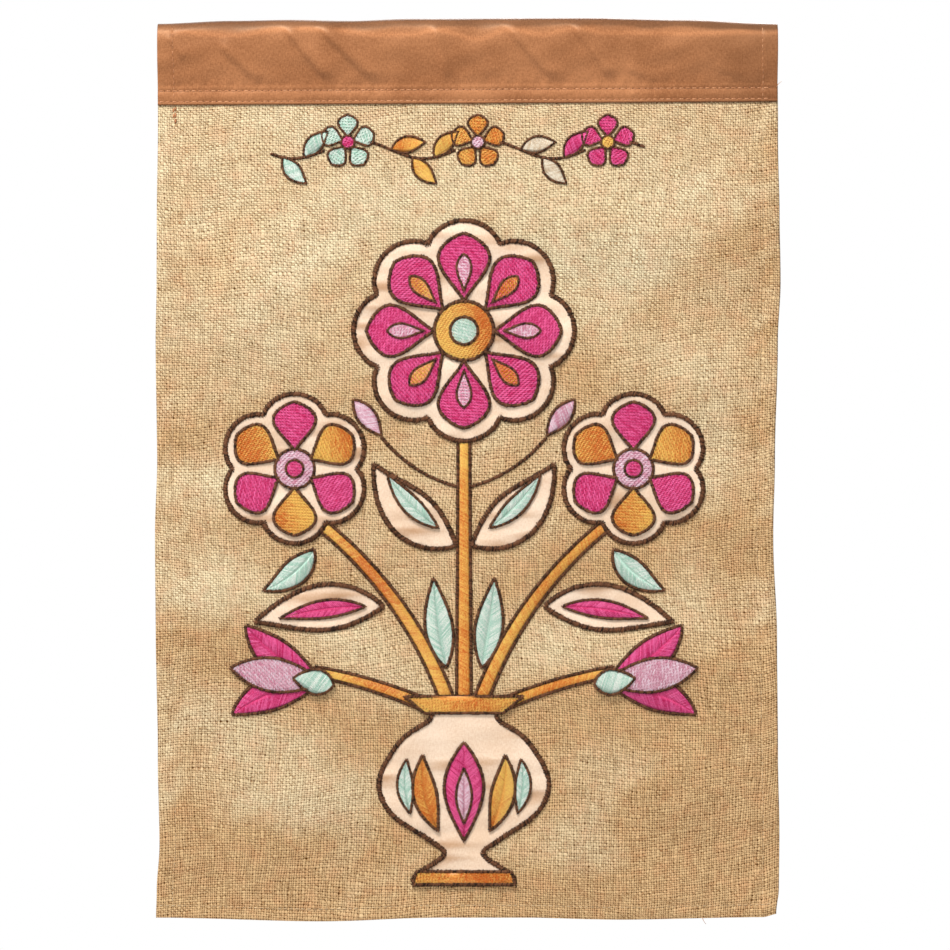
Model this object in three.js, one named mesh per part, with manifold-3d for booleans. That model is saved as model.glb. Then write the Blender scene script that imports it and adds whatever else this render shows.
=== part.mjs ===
// A garden flag, 316 mm wide and 458 mm tall, as it hangs from a rod: a burlap panel with turned
// hems, a satin rod sleeve folded over its top edge, and cream satin applique pieces on its front.
// Millimetres, +Z up. The front faces -Y. The origin is the middle of the sleeve's top fold.
import * as THREE from "three";
import { mergeVertices } from "three/addons/utils/BufferGeometryUtils.js";
import Module from "manifold-3d";

// Cloth
const SHEET = 1; // thickness of every sheet
const SEWN_GAP = 0.3; // between two sheets that are sewn together
const CELL = 14; // size of a sheet's facets

// Panel
const PANEL_TOP = -33.5; // its top edge, inside the sleeve
const PANEL_BOTTOM = -458; // its bottom edge, on average
const SIDE_HEM = 8;
const BOTTOM_HEM = 7;
const HEM_EXTRA = 1; // what the turned cloth adds on the back
const HEM_STEP = 1; // width over which that thickness begins
const RELIEF_START = -47; // the folds begin below the sleeve
const RELIEF_FULL = -85; // and have their whole depth here

// Sleeve
const SLEEVE_BOTTOM_LEFT = -44.5;
const SLEEVE_BOTTOM_RIGHT = -42.7;

// Ornament
const ORNAMENT_X = -2; // its middle line
const OUTLINE_STEP = 3; // distance between points on a curved outline
const CUTTER_DEPTH = 60;

// Side edges, from the top down
const SIDE_EDGES = [
  { z: 0, left: -157.5, right: 157.2 },
  { z: -60, left: -157.5, right: 157.6 },
  { z: -100, left: -158.0, right: 158.4 },
  { z: -135, left: -158.1, right: 159.0 },
  { z: -164, left: -158.6, right: 157.6 },
  { z: -225, left: -158.0, right: 156.0 },
  { z: -262, left: -159.0, right: 155.0 },
  { z: -316, left: -158.5, right: 157.0 },
  { z: -375, left: -157.5, right: 157.6 },
  { z: -420, left: -156.6, right: 158.6 },
  { z: -445, left: -158.2, right: 158.4 },
  { z: -458, left: -158.6, right: 157.0 },
];

// Top fold of the sleeve and bottom edge of the panel, from left to right
const TOP_EDGE = [
  { x: -158, z: -3.0 },
  { x: -120, z: -1.5 },
  { x: -90, z: -1.0 },
  { x: -60, z: -1.5 },
  { x: -28, z: -0.5 },
  { x: 60, z: 0 },
  { x: 108, z: -1.0 },
  { x: 158, z: -3.0 },
];
const BOTTOM_EDGE = [
  { x: -159, z: -457.3 },
  { x: -75, z: -459.2 },
  { x: -14, z: -457.2 },
  { x: 31, z: -457.2 },
  { x: 78, z: -458.3 },
  { x: 150, z: -457.4 },
  { x: 158, z: -455.6 },
];

// Soft folds. Length and width are half sizes, turn is the angle of the length above +X in degrees,
// and height is how far the cloth stands out to the front, or back where it is negative.
const PANEL_FOLDS = [
  { x: 30, z: -106, length: 85, width: 27, turn: 3, height: 2.2 },
  { x: -95, z: -146, length: 60, width: 38, turn: 14, height: 3.0 },
  { x: -40, z: -186, length: 34, width: 18, turn: -8, height: 1.4 },
  { x: 128, z: -110, length: 40, width: 20, turn: 24, height: 2.6 },
  { x: 50, z: -161, length: 48, width: 20, turn: -16, height: 2.6 },
  { x: 122, z: -194, length: 40, width: 24, turn: -10, height: 2.2 },
  { x: 136, z: -235, length: 38, width: 13, turn: -3, height: 1.8 },
  { x: 138, z: -254, length: 44, width: 15, turn: -14, height: 3.2 },
  { x: -134, z: -224, length: 34, width: 17, turn: 3, height: -2.3 },
  { x: -132, z: -303, length: 36, width: 20, turn: -5, height: 3.4 },
  { x: -75, z: -291, length: 46, width: 16, turn: -24, height: -2.0 },
  { x: -60, z: -341, length: 54, width: 20, turn: -26, height: 3.4 },
  { x: -86, z: -407, length: 50, width: 27, turn: 5, height: 3.8 },
  { x: -150, z: -400, length: 36, width: 11, turn: 86, height: 2.6 },
  { x: -153, z: -100, length: 60, width: 11, turn: 90, height: 1.5 },
  { x: 60, z: -296, length: 38, width: 18, turn: 4, height: -2.6 },
  { x: 88, z: -330, length: 74, width: 22, turn: 9, height: 3.4 },
  { x: 84, z: -394, length: 36, width: 18, turn: -6, height: 2.0 },
  { x: 48, z: -432, length: 34, width: 17, turn: -3, height: 2.8 },
  { x: 98, z: -446, length: 44, width: 14, turn: 6, height: 1.3 },
  { x: 136, z: -424, length: 32, width: 24, turn: -12, height: -2.2 },
  { x: 164, z: -110, length: 90, width: 15, turn: 90, height: -2.2 },
  { x: 160, z: -470, length: 110, width: 70, turn: 26, height: -5.5 },
  { x: -120, z: -474, length: 85, width: 42, turn: 8, height: -3.0 },
];
const SLEEVE_FOLDS = [
  { x: -117, z: -25, length: 16, width: 5, turn: -32, height: 0.9 },
  { x: -80, z: -22, length: 20, width: 5, turn: -48, height: 1.0 },
  { x: -58, z: -23, length: 22, width: 5, turn: -42, height: 0.9 },
  { x: 26, z: -20, length: 22, width: 5, turn: -38, height: 1.1 },
  { x: 58, z: -18, length: 16, width: 5, turn: -52, height: 1.0 },
  { x: 118, z: -22, length: 24, width: 6, turn: -25, height: 0.7 },
];

// Half of the sleeve's section, as parts of its height below the top fold: a round tunnel for the
// rod, closing to the seam that holds the panel. Depth is from the panel's middle to the sheet's.
const SLEEVE_SECTION = [
  { part: 0, depth: 0 },
  { part: 0.012, depth: 1.8 },
  { part: 0.04, depth: 3.4 },
  { part: 0.1, depth: 5.1 },
  { part: 0.19, depth: 5.9 },
  { part: 0.31, depth: 6.0 },
  { part: 0.45, depth: 5.2 },
  { part: 0.6, depth: 3.4 },
  { part: 0.72, depth: 1.8 },
  { part: 0.8, depth: 1.3 },
  { part: 1, depth: 1.3 },
];
const SEAM_PART = 0.72; // below this the legs lie on the panel
const TUNNEL_PART = 0.4; // above this the panel's hems don't spread them

// Applique: half widths of the vase above its foot
const VASE_FOOT = -440;
const VASE_PROFILE = [
  { up: 0, half: 26 },
  { up: 5, half: 24 },
  { up: 15, half: 10 },
  { up: 22, half: 17 },
  { up: 36, half: 37 },
  { up: 53, half: 43 },
  { up: 73, half: 32 },
  { up: 84, half: 17 },
  { up: 90, half: 20 },
  { up: 95, half: 30 },
];

// Rounds with lobes, by the radius at the tip of a lobe and at the notch between two
const BLOOMS = [
  { name: "applique_bloom_top", x: 0, z: -159, lobes: 8, tip: 56, notch: 47 },
  { name: "applique_bloom_left", x: -86, z: -229, lobes: 6, tip: 38, notch: 31 },
  { name: "applique_bloom_right", x: 86, z: -229, lobes: 6, tip: 38, notch: 31 },
];

// Leaves to the right of the middle line, each with its mirror image to the left. Turn is the
// angle above +X in degrees at the stem, and bend is what it turns on the way to the tip.
const LEAVES = [
  { name: "applique_leaf_upper", x: 4, z: -268, length: 60, width: 24, turn: 26, bend: 38 },
  { name: "applique_leaf_lower", x: 41, z: -299, length: 66, width: 23, turn: 4, bend: -22 },
];
const LEAF_BELLY = 0.85; // under 1, a leaf is widest past its middle
const LOBE_FULLNESS = 0.7; // under 1, a lobe is rounder

const BURLAP_COLOR = "#d2ae83";
const SLEEVE_COLOR = "#b2764e";
const CREAM_COLOR = "#f3d0ad";

const wasm = await Module();
wasm.setup();

// A column of a table at any place between its rows, eased from row to row
function between(rows, key, at, column) {
  const first = rows[0];
  const last = rows[rows.length - 1];
  const sign = Math.sign(last[key] - first[key]);
  if (sign * (at - first[key]) <= 0) return first[column];
  if (sign * (at - last[key]) >= 0) return last[column];
  const next = rows.findIndex((row) => sign * (row[key] - at) > 0);
  const [a, b] = [rows[next - 1], rows[next]];
  const part = (at - a[key]) / (b[key] - a[key]);
  return THREE.MathUtils.lerp(a[column], b[column], part * part * (3 - 2 * part));
}

// How far a table of folds brings the cloth to the front at one place
function foldHeight(folds, x, z) {
  let height = 0;
  for (const fold of folds) {
    const turn = THREE.MathUtils.degToRad(fold.turn);
    const [dx, dz] = [x - fold.x, z - fold.z];
    const along = (dx * Math.cos(turn) + dz * Math.sin(turn)) / fold.length;
    const across = (dz * Math.cos(turn) - dx * Math.sin(turn)) / fold.width;
    height += fold.height * Math.exp(-along * along - across * across);
  }
  return height;
}

// Where the panel's middle surface lies, front to back
function panelDepth(x, z) {
  const share = THREE.MathUtils.smoothstep(z, RELIEF_FULL, RELIEF_START);
  return -foldHeight(PANEL_FOLDS, x, z) * (1 - share);
}

// Even steps from 0 to size, with the hem's two edges added at the ends that have one
function gridLines(size, startHem, endHem) {
  const starts = startHem ? [0, startHem, startHem + HEM_STEP] : [0];
  const ends = [size - endHem - HEM_STEP, size - endHem, size];
  const from = starts[starts.length - 1];
  const count = Math.round((ends[0] - from) / CELL);
  const lines = [...starts];
  for (let i = 1; i < count; i += 1) lines.push(THREE.MathUtils.lerp(from, ends[0], i / count));
  return [...lines, ...ends].map((line) => line / size);
}

const across = gridLines(SIDE_EDGES[0].right - SIDE_EDGES[0].left, SIDE_HEM, SIDE_HEM);
const down = gridLines(PANEL_TOP - PANEL_BOTTOM, 0, BOTTOM_HEM);
const hemColumns = new Set([0, 1, across.length - 2, across.length - 1]);
const hemRows = new Set([down.length - 2, down.length - 1]);

function sideAt(part, z) {
  const left = between(SIDE_EDGES, "z", z, "left");
  const right = between(SIDE_EDGES, "z", z, "right");
  return THREE.MathUtils.lerp(left, right, part);
}

// A closed solid between two surfaces over one grid. near and far give the point at a column
// and a row; near faces -Y where columns run towards +X and rows run down.
function sheetGeometry(columns, rows, near, far) {
  const points = [];
  for (const surface of [near, far]) {
    for (let j = 0; j < rows; j += 1) {
      for (let i = 0; i < columns; i += 1) points.push(...surface(i, j));
    }
  }
  const nearAt = (i, j) => j * columns + i;
  const toFar = columns * rows;
  const index = [];
  for (let j = 0; j + 1 < rows; j += 1) {
    for (let i = 0; i + 1 < columns; i += 1) {
      const [a, b] = [nearAt(i, j), nearAt(i + 1, j)];
      const [c, d] = [nearAt(i, j + 1), nearAt(i + 1, j + 1)];
      index.push(a, c, b, b, c, d);
      index.push(a + toFar, b + toFar, c + toFar, b + toFar, d + toFar, c + toFar);
    }
  }
  const border = [];
  for (let j = 0; j < rows; j += 1) border.push(nearAt(0, j));
  for (let i = 1; i < columns; i += 1) border.push(nearAt(i, rows - 1));
  for (let j = rows - 2; j >= 0; j -= 1) border.push(nearAt(columns - 1, j));
  for (let i = columns - 2; i > 0; i -= 1) border.push(nearAt(i, 0));
  border.forEach((from, k) => {
    const to = border[(k + 1) % border.length];
    index.push(to, from, from + toFar, to, from + toFar, to + toFar);
  });
  const geometry = new THREE.BufferGeometry();
  geometry.setAttribute("position", new THREE.Float32BufferAttribute(points, 3));
  geometry.setIndex(index);
  geometry.computeVertexNormals();
  return geometry;
}

// A surface of the panel's grid, moved back by an offset that may differ at each grid point
function panelSurface(offsetAt) {
  return (i, j) => {
    const level = THREE.MathUtils.lerp(PANEL_TOP, PANEL_BOTTOM, down[j]);
    const x = sideAt(across[i], level);
    const bottom = between(BOTTOM_EDGE, "x", x, "z");
    const z = THREE.MathUtils.lerp(PANEL_TOP, bottom, down[j]);
    return [x, panelDepth(x, z) + offsetAt(i, j), z];
  };
}

function panelGeometry() {
  const front = panelSurface(() => -SHEET / 2);
  const back = panelSurface((i, j) => {
    const turned = hemColumns.has(i) || hemRows.has(j);
    return SHEET / 2 + (turned ? HEM_EXTRA : 0);
  });
  return sheetGeometry(across.length, down.length, front, back);
}

// The sleeve's middle line at one column, up the back, over the top and down the front
function sleeveLine(i) {
  const x = sideAt(across[i], 0);
  const top = between(TOP_EDGE, "x", x, "z") - SHEET / 2;
  const bottom = THREE.MathUtils.lerp(SLEEVE_BOTTOM_LEFT, SLEEVE_BOTTOM_RIGHT, across[i]);
  const hem = hemColumns.has(i) ? HEM_EXTRA : 0;
  const back = [];
  const front = [];
  for (const row of SLEEVE_SECTION) {
    const z = THREE.MathUtils.lerp(top, bottom, row.part);
    const spread = THREE.MathUtils.smoothstep(row.part, TUNNEL_PART, SEAM_PART);
    const free = Math.min(1, row.depth / 4) * (1 - spread);
    back.unshift(new THREE.Vector2(row.depth + hem * spread, z));
    front.push(new THREE.Vector2(-row.depth - foldHeight(SLEEVE_FOLDS, x, z) * free, z));
  }
  return { x, line: [...back, ...front.slice(1)] };
}

function sleeveGeometry() {
  const lines = across.map((_, i) => sleeveLine(i));
  const surface = (side) => (i, j) => {
    const { x, line } = lines[i];
    const before = line[Math.max(j - 1, 0)];
    const after = line[Math.min(j + 1, line.length - 1)];
    const along = after.clone().sub(before).normalize();
    const [y, z] = [line[j].x + along.y * side, line[j].y - along.x * side];
    return [x, y, z];
  };
  const rows = lines[0].line.length;
  return sheetGeometry(across.length, rows, surface(SHEET / 2), surface(-SHEET / 2));
}

function solidFrom(geometry) {
  const bare = geometry.clone();
  bare.deleteAttribute("normal");
  bare.deleteAttribute("uv");
  const merged = mergeVertices(bare, 1e-4);
  const vertProperties = merged.attributes.position.array;
  const triVerts = new Uint32Array(merged.index.array);
  return new wasm.Manifold(new wasm.Mesh({ numProp: 3, vertProperties, triVerts }));
}

function geometryFrom(solid) {
  const { vertProperties, triVerts } = solid.getMesh();
  const geometry = new THREE.BufferGeometry();
  geometry.setAttribute("position", new THREE.BufferAttribute(vertProperties, 3));
  geometry.setIndex(new THREE.BufferAttribute(triVerts, 1));
  geometry.computeVertexNormals();
  return geometry;
}

// The layer in which every applique piece lies, just in front of the panel and parallel to it
const appliqueLayer = solidFrom(
  sheetGeometry(
    across.length,
    down.length,
    panelSurface(() => -SHEET * 1.5 - SEWN_GAP),
    panelSurface(() => -SHEET / 2 - SEWN_GAP),
  ),
);

// One applique piece: the part of that layer inside an outline of [x, z] points
function appliqueGeometry(outline) {
  const shape = new THREE.Shape(outline.map(([x, z]) => new THREE.Vector2(x, z)));
  const cutter = new THREE.ExtrudeGeometry(shape, { depth: CUTTER_DEPTH, bevelEnabled: false });
  cutter.rotateX(Math.PI / 2);
  cutter.translate(0, CUTTER_DEPTH / 2, 0);
  return geometryFrom(appliqueLayer.intersect(solidFrom(cutter)));
}

// Up one side of the vase and down the other
function vaseOutline() {
  const profile = new THREE.SplineCurve(
    VASE_PROFILE.map(({ half, up }) => new THREE.Vector2(half, VASE_FOOT + up)),
  );
  const right = profile.getSpacedPoints(Math.round(profile.getLength() / OUTLINE_STEP));
  const left = right.map(({ x, y }) => new THREE.Vector2(-x, y)).reverse();
  return [...right, ...left].map(({ x, y }) => [ORNAMENT_X + x, y]);
}

// A round whose edge swells into even lobes, one of them pointing up
function bloomOutline({ x, z, lobes, tip, notch }) {
  const steps = lobes * Math.round((2 * Math.PI * tip) / OUTLINE_STEP / lobes);
  const outline = [];
  for (let i = 0; i < steps; i += 1) {
    const turn = (2 * Math.PI * i) / steps;
    const swell = Math.abs(Math.cos((turn * lobes) / 2)) ** LOBE_FULLNESS;
    const radius = THREE.MathUtils.lerp(notch, tip, swell);
    outline.push([ORNAMENT_X + x - radius * Math.sin(turn), z + radius * Math.cos(turn)]);
  }
  return outline;
}

// A pointed leaf along an arc that starts at x, z and turns by bend degrees on its way
function leafOutline({ x, z, length, width, turn, bend }, side) {
  const steps = Math.round(length / OUTLINE_STEP);
  const upper = [];
  const lower = [];
  let [atX, atZ] = [x, z];
  for (let i = 0; i <= steps; i += 1) {
    const part = i / steps;
    const angle = THREE.MathUtils.degToRad(turn + bend * part);
    const half = (width / 2) * Math.sin(Math.PI * part ** LEAF_BELLY);
    const [cos, sin] = [Math.cos(angle), Math.sin(angle)];
    if (i > 0 && i < steps) upper.push([atX - half * sin, atZ + half * cos]);
    lower.push([atX + half * sin, atZ - half * cos]);
    atX += (cos * length) / steps;
    atZ += (sin * length) / steps;
  }
  const outline = [...lower, ...upper.reverse()];
  return outline.map(([px, pz]) => [ORNAMENT_X + side * px, pz]);
}

function clothMesh(name, geometry, color, roughness) {
  const material = new THREE.MeshStandardMaterial({ color, roughness, metalness: 0 });
  const mesh = new THREE.Mesh(geometry, material);
  mesh.name = name;
  return mesh;
}

const flag = new THREE.Group();
flag.add(clothMesh("panel", panelGeometry(), BURLAP_COLOR, 0.95));
flag.add(clothMesh("sleeve", sleeveGeometry(), SLEEVE_COLOR, 0.45));
flag.add(clothMesh("applique_vase", appliqueGeometry(vaseOutline()), CREAM_COLOR, 0.4));
for (const bloom of BLOOMS) {
  flag.add(clothMesh(bloom.name, appliqueGeometry(bloomOutline(bloom)), CREAM_COLOR, 0.4));
}
for (const leaf of LEAVES) {
  for (const [sideName, side] of [["left", -1], ["right", 1]]) {
    const geometry = appliqueGeometry(leafOutline(leaf, side));
    flag.add(clothMesh(`${leaf.name}_${sideName}`, geometry, CREAM_COLOR, 0.4));
  }
}

export default flag;
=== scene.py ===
"""A garden flag of burlap with a satin rod sleeve, cream satin applique and machine embroidery.

Shapes are in millimetres in the part's own frame, +Z up, the front facing -Y, and become metres
where a mesh is made. Materials, lamps and camera are in metres. The cloth follows the folds of
the flag's solids.
"""

import math

import bpy
import numpy as np
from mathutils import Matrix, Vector
from mathutils.geometry import delaunay_2d_cdt


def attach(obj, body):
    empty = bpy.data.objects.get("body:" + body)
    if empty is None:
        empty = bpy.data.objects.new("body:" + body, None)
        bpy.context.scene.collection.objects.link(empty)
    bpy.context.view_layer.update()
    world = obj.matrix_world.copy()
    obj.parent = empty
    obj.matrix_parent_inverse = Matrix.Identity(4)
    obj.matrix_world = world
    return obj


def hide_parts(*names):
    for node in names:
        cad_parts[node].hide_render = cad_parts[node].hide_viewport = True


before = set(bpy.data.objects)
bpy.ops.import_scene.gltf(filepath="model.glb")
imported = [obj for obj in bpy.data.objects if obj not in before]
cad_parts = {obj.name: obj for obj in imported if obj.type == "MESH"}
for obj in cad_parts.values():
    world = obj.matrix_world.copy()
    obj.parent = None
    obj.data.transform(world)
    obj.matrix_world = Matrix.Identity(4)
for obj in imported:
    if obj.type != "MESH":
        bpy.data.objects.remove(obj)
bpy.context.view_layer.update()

MM = 0.001
BODY = "root"


def table(columns, *rows):
    """Rows with named columns."""
    return [dict(zip(columns.split(), row, strict=True)) for row in rows]


# The flag's cut, its hems, and the heights between which the folds begin
PANEL_TOP = -33.5
PANEL_BOTTOM = -458
PANEL_WIDTH = 315
SIDE_HEM = 8.2
BOTTOM_HEM = 6.4
CLOTH = 0.9  # thickness
HEM_EXTRA = 1.0  # of a hem, towards the back
RELIEF_START = -47
RELIEF_FULL = -85
SLEEVE_BOTTOM_LEFT = -44.5
SLEEVE_BOTTOM_RIGHT = -42.7

SIDE_EDGES = table(
    "z left right",
    (0, -157.5, 157.2),
    (-60, -157.5, 157.6),
    (-100, -158.0, 158.4),
    (-135, -158.1, 159.0),
    (-164, -158.6, 157.6),
    (-225, -158.0, 156.0),
    (-262, -159.0, 155.0),
    (-316, -158.5, 157.0),
    (-375, -157.5, 157.6),
    (-420, -156.6, 158.6),
    (-445, -158.2, 158.4),
    (-458, -158.6, 157.0),
)
TOP_EDGE = table(
    "x z",
    (-158, -3.0),
    (-120, -1.5),
    (-90, -1.0),
    (-60, -1.5),
    (-28, -0.5),
    (60, 0),
    (108, -1.0),
    (158, -3.0),
)
BOTTOM_EDGE = table(
    "x z",
    (-159, -457.3),
    (-75, -459.2),
    (-14, -457.2),
    (31, -457.2),
    (78, -458.3),
    (150, -457.4),
    (158, -455.6),
)

# Soft folds: half length and half width, turn above +X in degrees, height to the front
PANEL_FOLDS = table(
    "x z length width turn height",
    (30, -106, 85, 27, 3, 2.2),
    (-95, -146, 60, 38, 14, 3.0),
    (-40, -186, 34, 18, -8, 1.4),
    (128, -110, 40, 20, 24, 2.6),
    (50, -161, 48, 20, -16, 2.6),
    (122, -194, 40, 24, -10, 2.2),
    (136, -235, 38, 13, -3, 1.8),
    (138, -254, 44, 15, -14, 3.2),
    (-134, -224, 34, 17, 3, -2.3),
    (-132, -303, 36, 20, -5, 3.4),
    (-75, -291, 46, 16, -24, -2.0),
    (-60, -341, 54, 20, -26, 3.4),
    (-86, -407, 50, 27, 5, 3.8),
    (-150, -400, 36, 11, 86, 2.6),
    (-153, -100, 60, 11, 90, 1.5),
    (60, -296, 38, 18, 4, -2.6),
    (88, -330, 74, 22, 9, 3.4),
    (84, -394, 36, 18, -6, 2.0),
    (48, -432, 34, 17, -3, 2.8),
    (98, -446, 44, 14, 6, 1.3),
    (136, -424, 32, 24, -12, -2.2),
    (164, -110, 90, 15, 90, -2.2),
    (160, -470, 110, 70, 26, -5.5),
    (-120, -474, 85, 42, 8, -3.0),
)

# Painted light: paler patches on the burlap's folds, and one patch of painted shade, whose height is
# negative
PAINTED_LIGHT_PATCHES = table(
    "x z length width turn height",
    (66, -122, 54, 17, -5, 1.2),
    (121, -212, 30, 15, 80, 1.2),
    (-113, -364, 25, 13, -20, 0.9),
    (-70, -412, 40, 24, -50, 0.9),
    (64, -409, 34, 20, 70, 0.75),
    (-103, -169, 26, 20, 60, 0.45),
    (113, -281, 20, 12, 60, 0.5),
    (-122, -118, 34, 12, 85, -0.4),
)
PAINTED_LIGHT_SHARE = 0.2
# Painted light and shade on the back: a share of the front's
BACK_SHADE_SHARE = 0.3  # share of the front's tone on the back

# Drag creases of the sleeve's front, from their upper to their lower end
CREASES = table(
    "x0 z0 x1 z1 height wide",
    (-152, -11, -144, -21, 0.75, 3.0),
    (-125, -15, -104, -34, 1.25, 4.2),
    (-92, -6.5, -70, -33, 1.5, 4.2),
    (-74, -6.5, -45, -34, 1.62, 4.7),
    (-17, -6, -10, -33, 1.0, 4.2),
    (21, -6, 46, -34, 1.5, 4.7),
    (55, -6, 73, -31, 1.38, 4.2),
    (81, -26, 98, -34, 0.88, 3.4),
    (126, -24, 146, -36, 0.62, 5.1),
)

# The wavy line, along the front, where the sleeve turns over its shoulder
SHOULDER = table(
    "x z",
    (-157, -6.6),
    (-119, -9.1),
    (-91, -5.8),
    (-74, -6.0),
    (-45, -8.8),
    (-28, -8.6),
    (-16, -6.4),
    (5, -11.0),
    (21, -6.0),
    (37, -8.6),
    (56, -5.6),
    (70, -7.8),
    (113, -8.1),
    (157, -7.1),
)

# Half of the sleeve's section: parts of its height below the fold, and depth from the panel
SLEEVE_SECTION = table(
    "part depth",
    (0, 0),
    (0.012, 1.8),
    (0.04, 3.4),
    (0.1, 5.1),
    (0.19, 5.9),
    (0.31, 6.0),
    (0.45, 5.2),
    (0.6, 3.4),
    (0.72, 1.8),
    (0.8, 1.05),
    (1, 1.0),
)
SEAM_PART = 0.72  # below it the two legs lie together
TUNNEL_PART = 0.4  # from here down the panel's hems push the back leg out
SATIN = 0.45  # thickness
SEAM_ROWS = (7.2, 1.7)  # heights of the two rows of stitches above the sleeve's lower edge
SEAM_PITCH = 3.3
HEM_PITCH = 3.0

# Thread: distances between stitches, and the longest stitch of a filled row
FILL_PITCH = 0.64
FILL_STITCH = 3.6
CORD_PITCH = 0.62

# The ornament, drawn about x = 0 and placed at ORNAMENT_X
ORNAMENT_X = -2
TOP_BLOOM_Z = -159
SIDE_BLOOM_X, SIDE_BLOOM_Z = 86, -229
VASE_FOOT = -440
VASE_PROFILE = table(
    "half up",
    (26, 0),
    (24, 5),
    (10, 15),
    (17, 22),
    (37, 36),
    (43, 53),
    (32, 73),
    (17, 84),
    (20, 90),
    (30, 95),
)
PETAL_BELLY, PETAL_FULL = 1.55, 0.75

# Heights above the burlap
ON_BURLAP = 0.05
ON_SATIN = 1.0
ON_FILL = 1.5

LINE = 1.9  # width of the satin stitch round a filled shape
EDGE = 3.0  # and round an applique piece

STEMS = table(
    "x z length wide narrow turn bend",
    (0, -347, 132.5, 7.5, 6, 90, 0),
    (8, -348, 111, 7.5, 6, 70, -31),
    (17, -350, 62, 6.5, 5, 24, -14),
)
# Leaves and petals: x and z of the foot, turn and bend in degrees, and how they are filled
LEAF_COLUMNS = "colour x z length width turn bend belly full way stitch ground line"
STEM_LEAVES = table(
    LEAF_COLUMNS,
    ("aqua", 9, -330, 46, 14, 78, 8, 0.85, 1, "leaf", 48, ON_BURLAP, LINE),
    ("aqua", 76, -270, 34, 13, -58, 40, 0.85, 1, "leaf", 48, ON_BURLAP, LINE),
)
BUDS = table(
    LEAF_COLUMNS,
    ("lilac", 42, -212, 23, 9.5, 52, 0, 1.1, 0.85, "across", 60, ON_BURLAP, 1.7),
)
APPLIQUE_LEAVES = table(
    LEAF_COLUMNS,
    ("aqua", 13, -259, 38, 9, 34, 26, 0.9, 1, "leaf", 48, ON_SATIN, 1.7),
    ("pink", 50, -299, 44, 9, 0, -16, 0.9, 1, "leaf", 48, ON_SATIN, 1.7),
)
TULIP = table(
    LEAF_COLUMNS,
    ("pink", 71, -338, 50, 17, 22, 30, 1.1, 0.85, "leaf", 50, ON_BURLAP, LINE),
    ("pink", 71, -338, 50, 17, -2, -34, 1.1, 0.85, "leaf", 50, ON_BURLAP, LINE),
    ("lilac", 69, -338, 50, 17, 9, 0, 1.2, 0.85, "straight", 70, 0.6, LINE),
    ("aqua", 66, -338.5, 21, 13, 9, 0, 0.8, 0.9, "across", 65, 1.1, 1.7),
)
VASE_LEAVES = table(
    LEAF_COLUMNS,
    ("pink", 0, -418, 50, 20, 90, 0, 1.15, 0.9, "leaf", 45, ON_SATIN, LINE),
    ("orange", 13, -413, 40, 12, 62, 34, 1, 1, "leaf", 45, ON_SATIN, LINE),
    ("aqua", 27.2, -404, 28, 8, 72, 30, 1, 1, "leaf", 45, ON_SATIN, 1.6),
    ("lilac", 0, -409, 28, 8, 90, 0, 1, 1, "leaf", 45, ON_FILL, 1.6),
)


# ---------------------------------------------------------------- numbers


def lerp(a, b, part):
    return a + (b - a) * part


def smooth(part):
    part = np.clip(part, 0, 1)
    return part * part * (3 - 2 * part)


def line_of(distance, width):
    """1 on a line and falling away from it."""
    return np.exp(-((distance / width) ** 2))


def lengths(line):
    """Distances of a line's points from its start, along it."""
    return np.concatenate([[0], np.cumsum(np.linalg.norm(np.diff(line, axis=0), axis=1))])


def on_line(line, at):
    """Points at distances along a line."""
    return np.stack([np.interp(at, lengths(line), line[:, k]) for k in (0, 1)], -1)


def eased(rows, key, column, at):
    """A column of a table at any place between its rows, eased from row to row."""
    ordered = sorted(rows, key=lambda row: row[key])
    keys = np.array([row[key] for row in ordered], float)
    values = np.array([row[column] for row in ordered], float)
    at = np.clip(at, keys[0], keys[-1])
    i = np.clip(np.searchsorted(keys, at, side="right") - 1, 0, len(keys) - 2)
    return lerp(values[i], values[i + 1], smooth((at - keys[i]) / (keys[i + 1] - keys[i])))


def fold_height(folds, x, z):
    height = np.zeros(np.broadcast(x, z).shape)
    for fold in folds:
        turn = math.radians(fold["turn"])
        dx, dz = x - fold["x"], z - fold["z"]
        along = (dx * math.cos(turn) + dz * math.sin(turn)) / fold["length"]
        across = (dz * math.cos(turn) - dx * math.sin(turn)) / fold["width"]
        height += fold["height"] * np.exp(-along * along - across * across)
    return height


def crease_height(x, z):
    """Ridges that fade at both ends and are steeper on their lower left side."""
    height = np.zeros(np.broadcast(x, z).shape)
    for crease in CREASES:
        dx, dz = crease["x1"] - crease["x0"], crease["z1"] - crease["z0"]
        length = math.hypot(dx, dz)
        along = ((x - crease["x0"]) * dx + (z - crease["z0"]) * dz) / length**2
        across = ((z - crease["z0"]) * dx - (x - crease["x0"]) * dz) / length
        width = crease["wide"] * np.where(across > 0, 1, 0.38)
        ends = smooth(along / 0.25 + 0.5) * smooth((1 - along) / 0.25 + 0.3)
        height += crease["height"] * np.exp(-((across / width) ** 2)) * ends
    return height


def waves(seed, count, shortest, longest):
    """A function of x and z: a sum of seeded waves, about 1 high."""
    rng = np.random.default_rng(seed)
    length = rng.uniform(shortest, longest, count)
    turn = rng.uniform(0, math.pi, count)
    phase = rng.uniform(0, 2 * math.pi, count)
    kx, kz = 2 * math.pi * np.cos(turn) / length, 2 * math.pi * np.sin(turn) / length

    def at(x, z):
        total = sum(np.sin(a * x + b * z + c) for a, b, c in zip(kx, kz, phase))
        return total / math.sqrt(count)

    return at


def spline(points, steps):
    """A Catmull-Rom curve through points, with even steps in each span."""
    p = np.array(points, float)
    p = np.vstack([2 * p[0] - p[1], p, 2 * p[-1] - p[-2]])
    spans = len(points) - 1
    t = np.linspace(0, spans, spans * steps + 1)
    i = np.minimum(t.astype(int), spans - 1)
    f = (t - i)[:, None]
    a, b, c, d = p[i], p[i + 1], p[i + 2], p[i + 3]
    return 0.5 * (
        2 * b + (c - a) * f + (2 * a - 5 * b + 4 * c - d) * f**2 + (3 * b - a - 3 * c + d) * f**3
    )


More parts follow.
